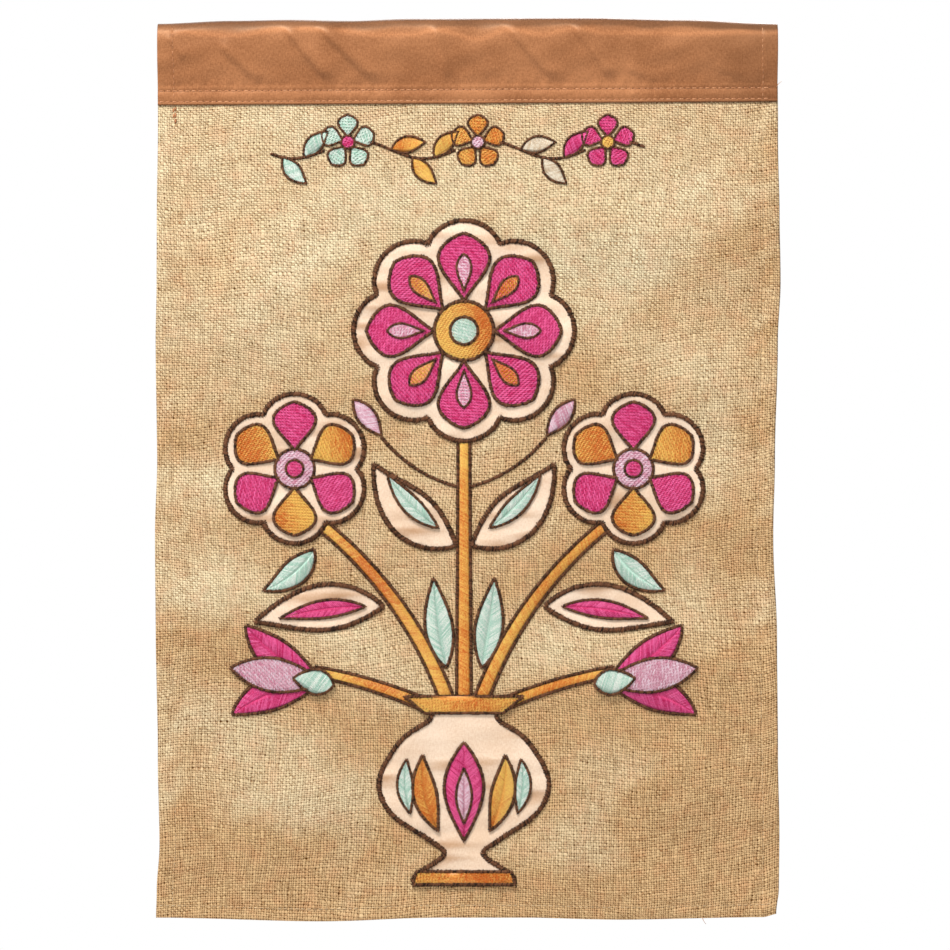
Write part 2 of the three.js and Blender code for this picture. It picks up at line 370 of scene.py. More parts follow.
class Field:
    """A function of x and z kept on a 1 mm grid and read between its points."""

    def __init__(self, function, left, right, low, high):
        self.left, self.low = left, low
        x, z = np.meshgrid(np.arange(left, right + 1.0), np.arange(low, high + 1.0))
        self.values = function(x, z)

    def __call__(self, x, z):
        rows, columns = self.values.shape
        u = np.clip(x - self.left, 0, columns - 1.001)
        v = np.clip(z - self.low, 0, rows - 1.001)
        i, j = v.astype(int), u.astype(int)
        u, v = u - j, v - i
        low = lerp(self.values[i, j], self.values[i, j + 1], u)
        high = lerp(self.values[i + 1, j], self.values[i + 1, j + 1], u)
        return lerp(low, high, v)


# ---------------------------------------------------------------- outlines


class Shape:
    """A closed outline, and for a leaf or a band its middle line with half widths."""

    def __init__(self, outline, line=None, angles=None, half=None):
        self.outline, self.line, self.angles, self.half = outline, line, angles, half

    def mirrored(self):
        flipped = self.outline[::-1] * [-1, 1]
        if self.line is None:
            return Shape(flipped)
        return Shape(flipped, self.line * [-1, 1], math.pi - self.angles, self.half)

    def placed(self):
        shift = np.array([ORNAMENT_X, 0])
        line = None if self.line is None else self.line + shift
        return Shape(self.outline + shift, line, self.angles, self.half)


def arc(x, z, length, turn, bend, steps):
    """Points and angles along an arc that starts at x, z and turns by bend degrees."""
    angles = np.radians(turn + bend * np.linspace(0, 1, steps + 1))
    step = np.stack([np.cos(angles), np.sin(angles)], 1)[:-1] * length / steps
    return np.vstack([[x, z], [x, z] + np.cumsum(step, 0)]), angles


def around(line, angles, half):
    """A shape with half widths on both sides of a line."""
    normal = np.stack([-np.sin(angles), np.cos(angles)], 1)
    lower, upper = line - normal * half[:, None], line + normal * half[:, None]
    if half[0] == 0 and half[-1] == 0:
        upper = upper[1:-1]
    return Shape(np.vstack([lower, upper[::-1]]), line, angles, half)


def blade(x, z, length, width, turn, bend=0, belly=0.85, full=1.0):
    """A leaf or petal. belly over 1 is widest near the tip, and full under 1 is rounder."""
    line, angles = arc(x, z, length, turn, bend, max(10, round(length / 1.2)))
    part = np.linspace(0, 1, len(line))
    half = width / 2 * np.clip(np.sin(math.pi * part**belly), 0, 1) ** full
    half[[0, -1]] = 0
    return around(line, angles, half)


def band(x, z, length, wide, narrow, turn, bend):
    line, angles = arc(x, z, length, turn, bend, max(10, round(length / 2)))
    return around(line, angles, np.linspace(wide, narrow, len(line)) / 2)


def disc(x, z, radius):
    turn = np.linspace(0, 2 * math.pi, max(20, round(radius * 5)), endpoint=False)
    return Shape(np.stack([x + radius * np.cos(turn), z + radius * np.sin(turn)], 1))


def bloom(x, z, lobes, tip, notch):
    steps = lobes * round(2 * math.pi * tip / 1.2 / lobes)
    turn = 2 * math.pi * np.arange(steps) / steps
    radius = lerp(notch, tip, np.abs(np.cos(turn * lobes / 2)) ** 0.7)
    return Shape(np.stack([x - radius * np.sin(turn), z + radius * np.cos(turn)], 1))


def vase():
    right = spline([[row["half"], VASE_FOOT + row["up"]] for row in VASE_PROFILE], 8)
    return Shape(np.vstack([right, (right * [-1, 1])[::-1]]))


def trapezium(low, low_half, high, high_half):
    return Shape(
        np.array([[-low_half, low], [low_half, low], [high_half, high], [-high_half, high]], float)
    )


def signed_area(outline):
    after = np.roll(outline, -1, 0)
    return (outline[:, 0] * after[:, 1] - outline[:, 1] * after[:, 0]).sum() / 2


def outline_distance(points, outline):
    """Distance of each point from a closed outline."""
    a, b = outline, np.roll(outline, -1, 0)
    ab = b - a
    found = []
    for some in np.array_split(points, max(1, len(points) * len(outline) // 2_000_000)):
        ap = some[:, None] - a[None]
        t = np.clip((ap * ab).sum(-1) / np.maximum((ab * ab).sum(-1), 1e-9), 0, 1)
        found.append(np.linalg.norm(ap - ab * t[..., None], axis=-1).min(1))
    return np.concatenate(found)


def inside(points, outline):
    a, b = outline, np.roll(outline, -1, 0)
    px, pz = points[:, 0, None], points[:, 1, None]
    crosses = (a[:, 1] > pz) != (b[:, 1] > pz)
    rise = np.where(b[:, 1] == a[:, 1], 1e-9, b[:, 1] - a[:, 1])
    at = a[:, 0] + (pz - a[:, 1]) * (b[:, 0] - a[:, 0]) / rise
    return (crosses & (px < at)).sum(1) % 2 == 1


LEAF_UPPER = blade(4, -268, length=60, width=24, turn=26, bend=38)
LEAF_LOWER = blade(41, -299, length=66, width=23, turn=4, bend=-22)
APPLIQUES = {
    "vase": vase(),
    "bloom_top": bloom(0, TOP_BLOOM_Z, lobes=8, tip=56, notch=47),
    "bloom_left": bloom(-SIDE_BLOOM_X, SIDE_BLOOM_Z, lobes=6, tip=38, notch=31),
    "bloom_right": bloom(SIDE_BLOOM_X, SIDE_BLOOM_Z, lobes=6, tip=38, notch=31),
    "leaf_upper_right": LEAF_UPPER,
    "leaf_upper_left": LEAF_UPPER.mirrored(),
    "leaf_lower_right": LEAF_LOWER,
    "leaf_lower_left": LEAF_LOWER.mirrored(),
}


# ---------------------------------------------------------------- the hanging cloth

CRUMPLE = 0.2
PUCKER = 0.16
SLEEVE_PUCKER = 0.14
PUCKER_REACH = 9  # from a seam
PULL_REACH = 8  # from an outline

crumple = waves(seed=3, count=14, shortest=22, longest=60)
pucker = waves(seed=5, count=10, shortest=9, longest=16)


def left_edge(z):
    return eased(SIDE_EDGES, "z", "left", z)


def right_edge(z):
    return eased(SIDE_EDGES, "z", "right", z)


def pull(x, z):
    """How much the sewn pieces pull the cloth round them: 1 at their outlines."""
    points = np.stack([x.ravel(), z.ravel()], 1)
    outlines = [shape.placed().outline[::3] for shape in APPLIQUES.values()]
    nearest = np.min([outline_distance(points, outline) for outline in outlines], axis=0)
    return line_of(nearest, PULL_REACH).reshape(x.shape)


def panel_middle(x, z):
    """Depth of the panel's middle surface at x and z, before its hems and rims."""
    share = 1 - smooth((z - RELIEF_FULL) / (RELIEF_START - RELIEF_FULL))
    puckers = PUCKER * pucker(x, z)
    height = (fold_height(PANEL_FOLDS, x, z) + CRUMPLE * crumple(x, z)) * share
    for line in (left_edge(z) + SIDE_HEM, right_edge(z) - SIDE_HEM):
        height = height + puckers * share * line_of(x - line, PUCKER_REACH)
    height = height + puckers * line_of(z - PANEL_BOTTOM - BOTTOM_HEM, PUCKER_REACH)
    below_sleeve = line_of(z - SLEEVE_BOTTOM_LEFT + 8, PUCKER_REACH)
    height = height + SLEEVE_PUCKER * pucker(x, z * 0.4) * below_sleeve
    return -height - puckers * pull(x, z)


panel_depth = Field(panel_middle, -164, 164, -464, -30)


def panel_front(places):
    """Depth of the panel's front face, which everything on it lies on."""
    return panel_depth(places[..., 0], places[..., 1]) - CLOTH / 2


# ---------------------------------------------------------------- meshes


def srgb(r, g, b):
    """Linear colour from 0-255 sRGB."""
    c = np.array([r, g, b]) / 255
    c = np.where(c <= 0.04045, c / 12.92, ((c + 0.055) / 1.055) ** 2.4)
    return (*c.tolist(), 1)


def make_piece(name, points, faces, uv, tone=None):
    """A smooth mesh object from points in millimetres. faces is a list of arrays of one size."""
    mesh = bpy.data.meshes.new(name)
    groups = [np.asarray(group, int) for group in faces if len(group)]
    corners = np.concatenate([group.ravel() for group in groups])
    sizes = np.concatenate([np.full(len(group), group.shape[1]) for group in groups])
    starts = np.concatenate([[0], np.cumsum(sizes)[:-1]])
    mesh.vertices.add(len(points))
    mesh.vertices.foreach_set("co", (np.asarray(points) * MM).ravel())
    mesh.loops.add(len(corners))
    mesh.loops.foreach_set("vertex_index", corners)
    mesh.polygons.add(len(sizes))
    mesh.polygons.foreach_set("loop_start", starts)
    mesh.polygons.foreach_set("use_smooth", np.ones(len(sizes), bool))
    layer = mesh.uv_layers.new(name="cloth")
    layer.data.foreach_set("uv", (np.asarray(uv) * MM)[corners].ravel())
    if tone is not None:
        shade = mesh.attributes.new("tone", "FLOAT", "POINT")
        shade.data.foreach_set("value", np.asarray(tone, float))
    mesh.update()
    mesh.validate()
    made = bpy.data.objects.new(name, mesh)
    bpy.context.scene.collection.objects.link(made)
    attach(made, BODY)
    return made


def grid_solid(name, near, far, uv, tones=None):
    """A closed sheet between two grids of points, each rows x columns x 3, with its own tone."""
    rows, columns = near.shape[:2]
    ids = np.arange(rows * columns).reshape(rows, columns)
    a, b = ids[:-1, :-1].ravel(), ids[:-1, 1:].ravel()
    c, d = ids[1:, :-1].ravel(), ids[1:, 1:].ravel()
    front = np.stack([a, c, d, b], 1)
    back = np.stack([a, b, d, c], 1) + rows * columns
    rim = np.concatenate([ids[:, 0], ids[-1, 1:], ids[-2::-1, -1], ids[0, -2:0:-1]])
    after = np.roll(rim, -1)
    wall = np.stack([after, rim, rim + rows * columns, after + rows * columns], 1)
    points = np.concatenate([near.reshape(-1, 3), far.reshape(-1, 3)])
    flat = uv.reshape(-1, 2)
    tones = None if tones is None else tones.ravel()
    return make_piece(name, points, [front, back, wall], np.concatenate([flat, flat]), tones)


def edge_lines(size, near_edge, step):
    """Places from 0 to size: as given near both edges, then about a step apart."""
    start, end = near_edge[-1], size - near_edge[-1]
    middle = np.linspace(start, end, round((end - start) / step) + 1)[1:-1]
    return np.concatenate([near_edge, middle, size - np.array(near_edge[::-1])])


def rim_shift(distance, radius):
    """How far a face draws back within a rim of that radius."""
    within = np.clip(radius - distance, 0, radius)
    return radius - np.sqrt(radius**2 - within**2)


# ---------------------------------------------------------------- panel

HEM_LINES = [0, 0.25, 0.7, 1.4, 2.6, 4.2, 5.8, 7.0, 7.8, 8.4, 9.2, 10.4]
PANEL_STEP = 2.3
PANEL_LENGTH = PANEL_TOP - PANEL_BOTTOM
PANEL_RIM = 0.9
HEM_STEP = 0.8  # width over which a hem's edge and its stitched line rise and fall
SLOPE_REACH = 4


def panel_faces(side, low):
    """Heights of the front and the back face over the middle, by distance from the edges."""
    past_side = smooth((side - SIDE_HEM) / HEM_STEP)
    past_low = smooth((low - BOTTOM_HEM - 0.6) / HEM_STEP)
    rim = np.maximum(rim_shift(side, PANEL_RIM), rim_shift(low, PANEL_RIM))
    swell = 0.25 * (line_of(side - 3.8, 3) + line_of(low - 3, 2.6))
    dip = line_of(side - SIDE_HEM, HEM_STEP) + line_of(low - BOTTOM_HEM, HEM_STEP)
    front = CLOTH / 2 + swell - 0.24 * dip - rim
    back = CLOTH / 2 + HEM_EXTRA * (1 - past_side * past_low) - 0.2 * dip - rim
    return front, np.maximum(back, 0.05 - front)


def painted_fold_shade(x, z):
    """How much the cloth faces down and to the right, where painted shade deepens its colour."""
    down = panel_depth(x, z + SLOPE_REACH) - panel_depth(x, z - SLOPE_REACH)
    right = panel_depth(x - SLOPE_REACH, z) - panel_depth(x + SLOPE_REACH, z)
    return -(down + 0.4 * right) / (2 * SLOPE_REACH)


def make_panel():
    along = edge_lines(PANEL_WIDTH, HEM_LINES, PANEL_STEP)
    down = edge_lines(PANEL_LENGTH, HEM_LINES, PANEL_STEP)
    u, v = np.meshgrid(along, down)
    level = PANEL_TOP - v
    x = lerp(left_edge(level), right_edge(level), u / PANEL_WIDTH)
    z = lerp(PANEL_TOP, eased(BOTTOM_EDGE, "x", "z", x), v / PANEL_LENGTH)
    front, back = panel_faces(np.minimum(u, PANEL_WIDTH - u), PANEL_LENGTH - v)
    middle = panel_depth(x, z)
    near = np.stack([x, middle - front, z], -1)
    far = np.stack([x, middle + back, z], -1)
    # Painted shade where the folds face down and right, and painted light on the paler patches
    tone = painted_fold_shade(x, z) - PAINTED_LIGHT_SHARE * fold_height(PAINTED_LIGHT_PATCHES, x, z)
    tones = np.stack([tone, BACK_SHADE_SHARE * tone])
    return grid_solid("burlap_panel", near, far, np.stack([u, level], -1), tones)


# ---------------------------------------------------------------- sleeve

END_LINES = [0, 0.2, 0.6, 1.4, 2.6, 4.2, 5.8, 7.0, 7.8, 8.4, 9.2]
SLEEVE_STEP = 1.1
SHOULDER_PART = 0.17  # where the section has its shoulder, which SHOULDER then moves up or down
TURNED_UNDER = 10

drag = waves(seed=11, count=9, shortest=14, longest=40)
ruck = waves(seed=12, count=6, shortest=5, longest=11)
section = spline([[row["part"], row["depth"]] for row in SLEEVE_SECTION], 4)


def sleeve_top(x):
    return eased(TOP_EDGE, "x", "z", x) - SATIN / 2


def sleeve_bottom(x):
    return lerp(SLEEVE_BOTTOM_LEFT, SLEEVE_BOTTOM_RIGHT, (x + 158) / 316)


def sleeve_depth(x, part, side):
    """Distance of a leg's middle surface from the panel's middle. side is -1 at the front."""
    front = side < 0
    top, bottom = sleeve_top(x), sleeve_bottom(x)
    shoulder = SHOULDER_PART * (top - bottom) / -eased(SHOULDER, "x", "z", x)
    bent = part * lerp(shoulder, 1, smooth((part - 0.18) / 0.3))
    depth = np.interp(np.where(front, bent, part), section[:, 0], section[:, 1])
    z = lerp(top, bottom, part)
    above = z - bottom
    end = np.minimum(x - SIDE_EDGES[0]["left"], SIDE_EDGES[0]["right"] - x)

    spread = smooth((part - TUNNEL_PART) / (SEAM_PART - TUNNEL_PART))
    free = np.minimum(1, depth / 3) * (1 - smooth((part - 0.6) / 0.2))
    depth = depth + np.where(front, crease_height(x, z) * free, 0)
    depth = depth + 0.15 * drag(x, z * 1.6) * free
    depth = depth + 0.16 * ruck(x, z * 0.6) * line_of(above - TURNED_UNDER, 3.5)
    hem = 1 - smooth((end - SIDE_HEM) / HEM_STEP)
    depth = depth + np.where(front, 0, HEM_EXTRA * hem * spread) + 0.2 * hem
    depth = depth - 0.3 * line_of(end - SIDE_HEM, 0.7) * np.minimum(1, depth)
    for row in SEAM_ROWS:
        hole = 0.5 + 0.5 * np.cos(2 * math.pi * (x + row) / SEAM_PITCH)
        depth = depth - (0.2 + 0.14 * hole) * line_of(above - row, 0.8)
    swell = 0.22 + 0.1 * ruck(x, z)
    return depth + swell * line_of(above - 4.4, 1.5)


def sleeve_tone_and_painted_shade(x, z, above, upward):
    """How much deeper the satin looks: painted shade above its shoulder, higher up and along its lower
    edge, a painted highlight on its shoulder, and darker over its seam band and at the right.
    """
    # Painted shade where the crown faces up to the light, a painted highlight along the shoulder,
    # painted shade higher up and a painted shadow line along the lower edge
    crown = 0.4 * smooth((upward - 0.28) / 0.25) + 0.16 * smooth((upward - 0.7) / 0.2)
    shoulder = 0.28 * line_of(z - eased(SHOULDER, "x", "z", x) + 0.3, 1.4)
    right_end = 0.2 * smooth((x - 95) / 55)
    seam = 0.14 * (1 - smooth((above - 9) / 2))
    high = 0.22 * smooth((z + 32) / 22)
    edge = 0.45 * (1 - smooth(above / 0.9))
    return crown - shoulder + right_end + seam + edge + high - 0.03


def sleeve_thickness(above):
    """The legs are turned under at the bottom, so the sheet is twice as thick there."""
    return SATIN * (1 + smooth((TURNED_UNDER - above) / 1.5))


def make_sleeve():
    along = edge_lines(PANEL_WIDTH, END_LINES, SLEEVE_STEP)
    fine = np.linspace(SEAM_PART, 1, 24)
    parts = np.concatenate([section[section[:, 0] < SEAM_PART - 0.01, 0], fine])
    part = np.concatenate([parts[::-1], parts[1:]])
    side = np.where(np.arange(len(part)) < len(parts), 1.0, -1.0)
    u, part = np.meshgrid(along, part)
    side = side[:, None] + 0 * u
    x = lerp(SIDE_EDGES[0]["left"], SIDE_EDGES[0]["right"], u / PANEL_WIDTH)
    top, bottom = sleeve_top(x), sleeve_bottom(x)
    z = lerp(top, bottom, part)
    above = (1 - part) * (top - bottom)
    middle = np.stack([side * sleeve_depth(x, part, side), z], -1)

    slope = np.gradient(middle, axis=0)
    slope /= np.linalg.norm(slope, axis=-1, keepdims=True)
    out = np.stack([slope[..., 1], -slope[..., 0]], -1)
    end = np.minimum(u, PANEL_WIDTH - u)
    rim = np.maximum(rim_shift(above, 0.4), rim_shift(end, 0.3))
    half_thick = np.maximum(sleeve_thickness(above) / 2 - rim, 0.02)[..., None]
    outer, inner = middle + out * half_thick, middle - out * half_thick
    steps = np.linalg.norm(np.diff(middle, axis=0), axis=-1)
    v = np.vstack([np.zeros((1, u.shape[1])), np.cumsum(steps, axis=0)])
    near = np.stack([x, outer[..., 0], outer[..., 1]], -1)
    far = np.stack([x, inner[..., 0], inner[..., 1]], -1)
    # The satin's painted light and shade, carried as the mesh's tone
    tone = np.clip(sleeve_tone_and_painted_shade(x, z, above, out[..., 1]), -0.3, 0.7)
    return grid_solid("rod_sleeve", near, far, np.stack([u, v], -1), np.stack([tone, tone]))


def sleeve_face(x, z, side):
    """Depth of the sleeve's outer face."""
    top, bottom = sleeve_top(x), sleeve_bottom(x)
    part = np.clip((top - z) / (top - bottom), 0, 1)
    return side * (sleeve_depth(x, part, side + 0 * x) + sleeve_thickness(z - bottom) / 2)


# ---------------------------------------------------------------- layers on the panel


def spread_inside(outline, step):
    """Triangles that cover the inside of an outline, with points about a step apart."""
    low, high = outline.min(0), outline.max(0)
    gx, gz = np.meshgrid(np.arange(low[0], high[0], step), np.arange(low[1], high[1], step))
    gx[1::2] += step / 2
    grid = np.stack([gx.ravel(), gz.ravel()], 1)
    grid = grid[inside(grid, outline)]
    grid = grid[outline_distance(grid, outline) > step * 0.5]
    points = [Vector(p) for p in np.vstack([outline, grid]).tolist()]
    made = delaunay_2d_cdt(points, [], [list(range(len(outline)))], 1, 1e-5)
    flat = np.array([list(p) for p in made[0]])
    faces = np.array([list(f) for f in made[2]])
    ab, ac = flat[faces[:, 1]] - flat[faces[:, 0]], flat[faces[:, 2]] - flat[faces[:, 0]]
    turned = ab[:, 0] * ac[:, 1] - ab[:, 1] * ac[:, 0] < 0
    faces[turned] = faces[turned][:, ::-1]
    return flat, faces


def rim_of(faces):
    """Directed border edges of a set of triangles."""
    edges = np.vstack([faces[:, [0, 1]], faces[:, [1, 2]], faces[:, [2, 0]]]).tolist()
    known = {tuple(edge) for edge in edges}
    return np.array([edge for edge in edges if (edge[1], edge[0]) not in known])


def raised(outline, step, height, under):
    """A closed layer on the panel: its points, triangles, walls and flat points."""
    flat, faces = spread_inside(outline, step)
    front = panel_front(flat)
    top = np.stack([flat[:, 0], front - height(flat), flat[:, 1]], 1)
    base = np.stack([flat[:, 0], front - under, flat[:, 1]], 1)
    rim = rim_of(faces)
    count = len(flat)
    walls = np.stack([rim[:, 1], rim[:, 0], rim[:, 0] + count, rim[:, 1] + count], 1)
    triangles = np.vstack([faces, faces[:, ::-1] + count])
    return np.vstack([top, base]), triangles, walls, np.vstack([flat, flat])


satin_ripple = waves(seed=21, count=9, shortest=12, longest=26)
APPLIQUE_STEP = 1.8
APPLIQUE_EDGE = 0.5  # height of the satin at its stitched edge
PUFF = 0.2
PUFF_REACH = 2.5
RIPPLE = 0.24


def make_applique(name, shape):
    """A cream satin piece, a little puffed inside its stitched edge."""
    outline = shape.placed().outline

    def height(flat):
        puff = 1 - np.exp(-outline_distance(flat, outline) / PUFF_REACH)
        ripple = satin_ripple(flat[:, 0] * 0.4, flat[:, 1] * 1.9)
        return APPLIQUE_EDGE + puff * (PUFF + RIPPLE * ripple)

    points, triangles, walls, uv = raised(outline, APPLIQUE_STEP, height, 0.06)
    made = make_piece(f"satin_{name}", points, [triangles, walls], uv)
    size = outline.max(0) - outline.min(0)
    area = abs(signed_area(outline))
    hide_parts(f"applique_{name}")
    size * MM
    area * MM * MM
    return made


# ---------------------------------------------------------------- threads

AROUND_THREAD = np.radians([90, 210, 330])


class Threads:
    """Stitches of one colour, gathered and then made into one mesh of small closed tubes."""

    def __init__(self, name, seed):
        self.name = name
        self.rng = np.random.default_rng(seed)
        self.points, self.faces, self.uv, self.tones = [], [], [], []
        self.count = 0

    def add(self, points, uv, tone, faces):
        self.faces += [group + self.count for group in faces]
        self.points.append(points)
        self.uv.append(uv)
        self.tones.append(tone)
        self.count += len(points)

    def lay(self, centres, depth, width, thick, tone, taper):
        """Tubes through centres, n x rings x 2 in x and z, at n x rings depths."""
        n, rings = centres.shape[:2]
        along = centres[:, -1] - centres[:, 0]
        along /= np.maximum(np.linalg.norm(along, axis=1, keepdims=True), 1e-6)
        side = np.stack([-along[:, 1], along[:, 0]], 1)
        out = np.cos(AROUND_THREAD) * taper[None, :, None] * width / 2
        up = np.sin(AROUND_THREAD) * taper[None, :, None] * thick / 2
        x = centres[..., 0, None] + side[:, 0, None, None] * out
        z = centres[..., 1, None] + side[:, 1, None, None] * out
        points = np.stack([x, depth[..., None] - up, z], -1).reshape(-1, 3)
        ids = np.arange(n * rings * 3).reshape(n, rings, 3)
        after = np.roll(ids, -1, axis=2)
        quads = np.stack([ids[:, :-1], after[:, :-1], after[:, 1:], ids[:, 1:]], -1)
        length = np.linalg.norm(centres[:, -1] - centres[:, 0], axis=1)
        # Each stitch takes its fibres from a place of its own, so that no two look alike
        u = np.linspace(0, 1, rings)[None, :, None] * length[:, None, None] + 0 * out
        v = np.array([0, 0.3, 0.6]) + self.rng.uniform(0, 90, (n, 1, 1)) + 0 * u
        tone = np.broadcast_to(np.reshape(tone, (n, -1)), (n, rings))
        self.add(
            points,
            np.stack([u, v], -1).reshape(-1, 2),
            np.repeat(np.clip(tone, 0, 1).ravel(), 3),
            [quads.reshape(-1, 4), ids[:, 0, ::-1], ids[:, -1]],
        )

    def build(self, dark, light, gloss=0.35):
        points, uv, tone = np.vstack(self.points), np.vstack(self.uv), np.concatenate(self.tones)
        made = make_piece(self.name, points, self.faces, uv, tone)
        made.data.materials.append(thread_material(self.name, dark, light, gloss))
        return made


STITCH_PLACES = np.array([0, 0.22, 0.78, 1])
STITCH_LIFT = np.array([-0.14, 0.12, 0.12, -0.14])
STITCH_TAPER = np.array([0.5, 1, 1, 0.5])
# Painted shade at a stitch's ends, where it dives into the cloth, and a little painted light in its
# middle
STITCH_PAINTED_SHADING = np.array([-0.3, 0.05, 0.05, -0.3])
FILL_PAINTED_SHADING = np.array([-0.34, 0.08, 0.08, -0.34])
FILL_WIDTH = FILL_PITCH * 1.12
FILL_THICK = 0.42
ROW_SHIFT = 0.38  # share of a stitch by which each row is set off from the last
SHORTEST = 0.6


def pad_height(outline, ground, rise):
    """Height of a shape's padded ground over the burlap, as a function of flat points."""
    return lambda flat: ground + rise * (1 - np.exp(-outline_distance(flat, outline) / 1.2))


def lay_fill(threads, start, end, pad, shade):
    """Straight stitches from start to end over a pad."""
    centres = start[:, None] + (end - start)[:, None] * STITCH_PLACES[:, None]
    flat = centres.reshape(-1, 2)
    height = pad(flat).reshape(centres.shape[:2]) + STITCH_LIFT
    depth = panel_front(centres) - height
    # Each stitch's own tone, with painted shade at its ends
    tone = threads.rng.normal(0.47, 0.17, (len(start), 1)) + FILL_PAINTED_SHADING
    tone = tone + threads.rng.normal(0, 0.2, centres.shape[:2])
    if shade is not None:
        # Orange thread: each stitch's own tone, over the slow run from rust to gold
        tone = tone * 0.6 + shade(flat).reshape(centres.shape[:2]) * 0.75 - 0.15
    threads.lay(centres, depth, FILL_WIDTH, FILL_THICK, tone, STITCH_TAPER)


def lay_long_enough(threads, start, end, pad, shade):
    keep = np.linalg.norm(end - start, axis=1) > SHORTEST
    lay_fill(threads, start[keep], end[keep], pad, shade)


def fill_straight(threads, shape, angle, pad, shade):
    """Rows of short stitches in one direction, each row set off from the last."""
    turn = math.radians(angle)
    ahead = np.array([math.cos(turn), math.sin(turn)])
    aside = np.array([-math.sin(turn), math.cos(turn)])
    across, along = shape.outline @ aside, shape.outline @ ahead
    starts, ends, levels = [], [], []
    for number, level in enumerate(np.arange(across.min() + 0.3, across.max(), FILL_PITCH)):
        a0, a1 = across, np.roll(across, -1)
        hit = (a0 > level) != (a1 > level)
        part = (level - a0[hit]) / (a1[hit] - a0[hit])
        at = np.sort(lerp(along[hit], np.roll(along, -1)[hit], part))
        for start, end in zip(at[::2], at[1::2]):
            shift = (number * ROW_SHIFT % 1) * FILL_STITCH
            cuts = np.arange(start - start % FILL_STITCH + shift - FILL_STITCH, end, FILL_STITCH)
            cuts = cuts[(cuts > start + 0.9) & (cuts < end - 0.9)]
            cuts = cuts + threads.rng.uniform(-0.3, 0.3, len(cuts))
            starts += [start, *cuts]
            ends += [*cuts, end]
            levels += [level] * (len(cuts) + 1)
    level = np.array(levels)[:, None] * aside
    start, end = np.array(starts)[:, None] * ahead, np.array(ends)[:, None] * ahead
    lay_fill(threads, start + level, end + level, pad, shade)


def along_line(shape, at):
    """Points, directions across, and half widths at distances along a shape's middle line."""
    length = lengths(shape.line)
    angle = np.interp(at, length, shape.angles)
    normal = np.stack([-np.sin(angle), np.cos(angle)], 1)
    return on_line(shape.line, at), normal, np.interp(at, length, shape.half)


def fill_leaf(threads, shape, slant, pad, shade):
    """Stitches that slant from the middle line out to both edges."""
    forward = 1 / math.tan(math.radians(slant))
    pitch = FILL_PITCH / math.sin(math.radians(slant))
    at = np.arange(-6, lengths(shape.line)[-1], pitch)
    for side in (1, -1):
        reach = at + along_line(shape, at + 3)[2] * forward
        reach = at + along_line(shape, reach)[2] * forward
        keep = reach > 0.3
        point, normal, half = along_line(shape, reach[keep])
        end = point + normal * half[:, None] * side
        lay_long_enough(threads, on_line(shape.line, at[keep]), end, pad, shade)


def fill_across(threads, shape, slant, pad, shade):
    """Stitches from edge to edge across the middle line."""
    at = np.arange(0.4, lengths(shape.line)[-1], FILL_PITCH)
    ahead = along_line(shape, at)[2] / math.tan(math.radians(slant))
    ends = []
    for side in (-1, 1):
        point, normal, half = along_line(shape, at + side * ahead)
        ends.append(point + side * normal * half[:, None])
    lay_long_enough(threads, *ends, pad, shade)


FILLS = {"straight": fill_straight, "leaf": fill_leaf, "across": fill_across}

CORD_SHARE = np.array([-1, -0.62, 0, 0.62, 1])
CORD_LIFT = np.array([-0.12, 0.7, 1, 0.7, -0.12])
CORD_TAPER = np.array([0.6, 1, 1, 1, 0.6])
# Painted shade at a cord stitch's ends and a painted highlight in its middle
CORD_PAINTED_SHADING = np.array([-0.36, 0.02, 0.24, 0.02, -0.36])
CORD_WIDTH = CORD_PITCH * 1.18
CORD_THICK = 0.46
CORD_SLANT = math.radians(22)


def satin_cord(threads, path, width, outer, within, rise, closed=True):
    """Satin stitch along a path: slanted stitches over a raised core, with uneven ends.

    outer and within are the heights of the ground on the outline's two sides.
    """
    line = np.vstack([path, path[:1]]) if closed else path
    length = lengths(line)[-1]
    n = max(6, round(length / CORD_PITCH))
    places = on_line(line, np.linspace(0, length, n, endpoint=not closed))
    ahead = np.roll(places, -1, 0) - np.roll(places, 1, 0) if closed else np.gradient(places, axis=0)
    ahead /= np.maximum(np.linalg.norm(ahead, axis=1, keepdims=True), 1e-6)
    # The stitches differ in slant, reach, height and tone
    rng = threads.rng
    inward = 1 if not closed or signed_area(path) > 0 else -1
    normal = np.stack([-ahead[:, 1], ahead[:, 0]], 1) * inward
    slant = CORD_SLANT + rng.normal(0, 0.07, n)
    across = normal * np.cos(slant)[:, None] + ahead * np.sin(slant)[:, None]
    low, high = width / 2 * (1 + rng.normal(0, 0.13, (2, n)))
    reach = np.where(CORD_SHARE < 0, low[:, None], high[:, None]) * CORD_SHARE
    centres = places[:, None] + across[:, None] * reach[..., None]
    ground = lerp(outer, within, (CORD_SHARE + 1) / 2)
    height = ground + rise * CORD_LIFT + rng.normal(0, 0.035, n)[:, None]
    depth = panel_front(centres) - height
    # Each stitch's own tone, with painted shade at its ends and a painted highlight in its middle
    tone = rng.normal(0.42, 0.34, (n, 1)) + CORD_PAINTED_SHADING + rng.normal(0, 0.1, (n, 5))
    threads.lay(centres, depth, CORD_WIDTH, CORD_THICK, tone, CORD_TAPER)


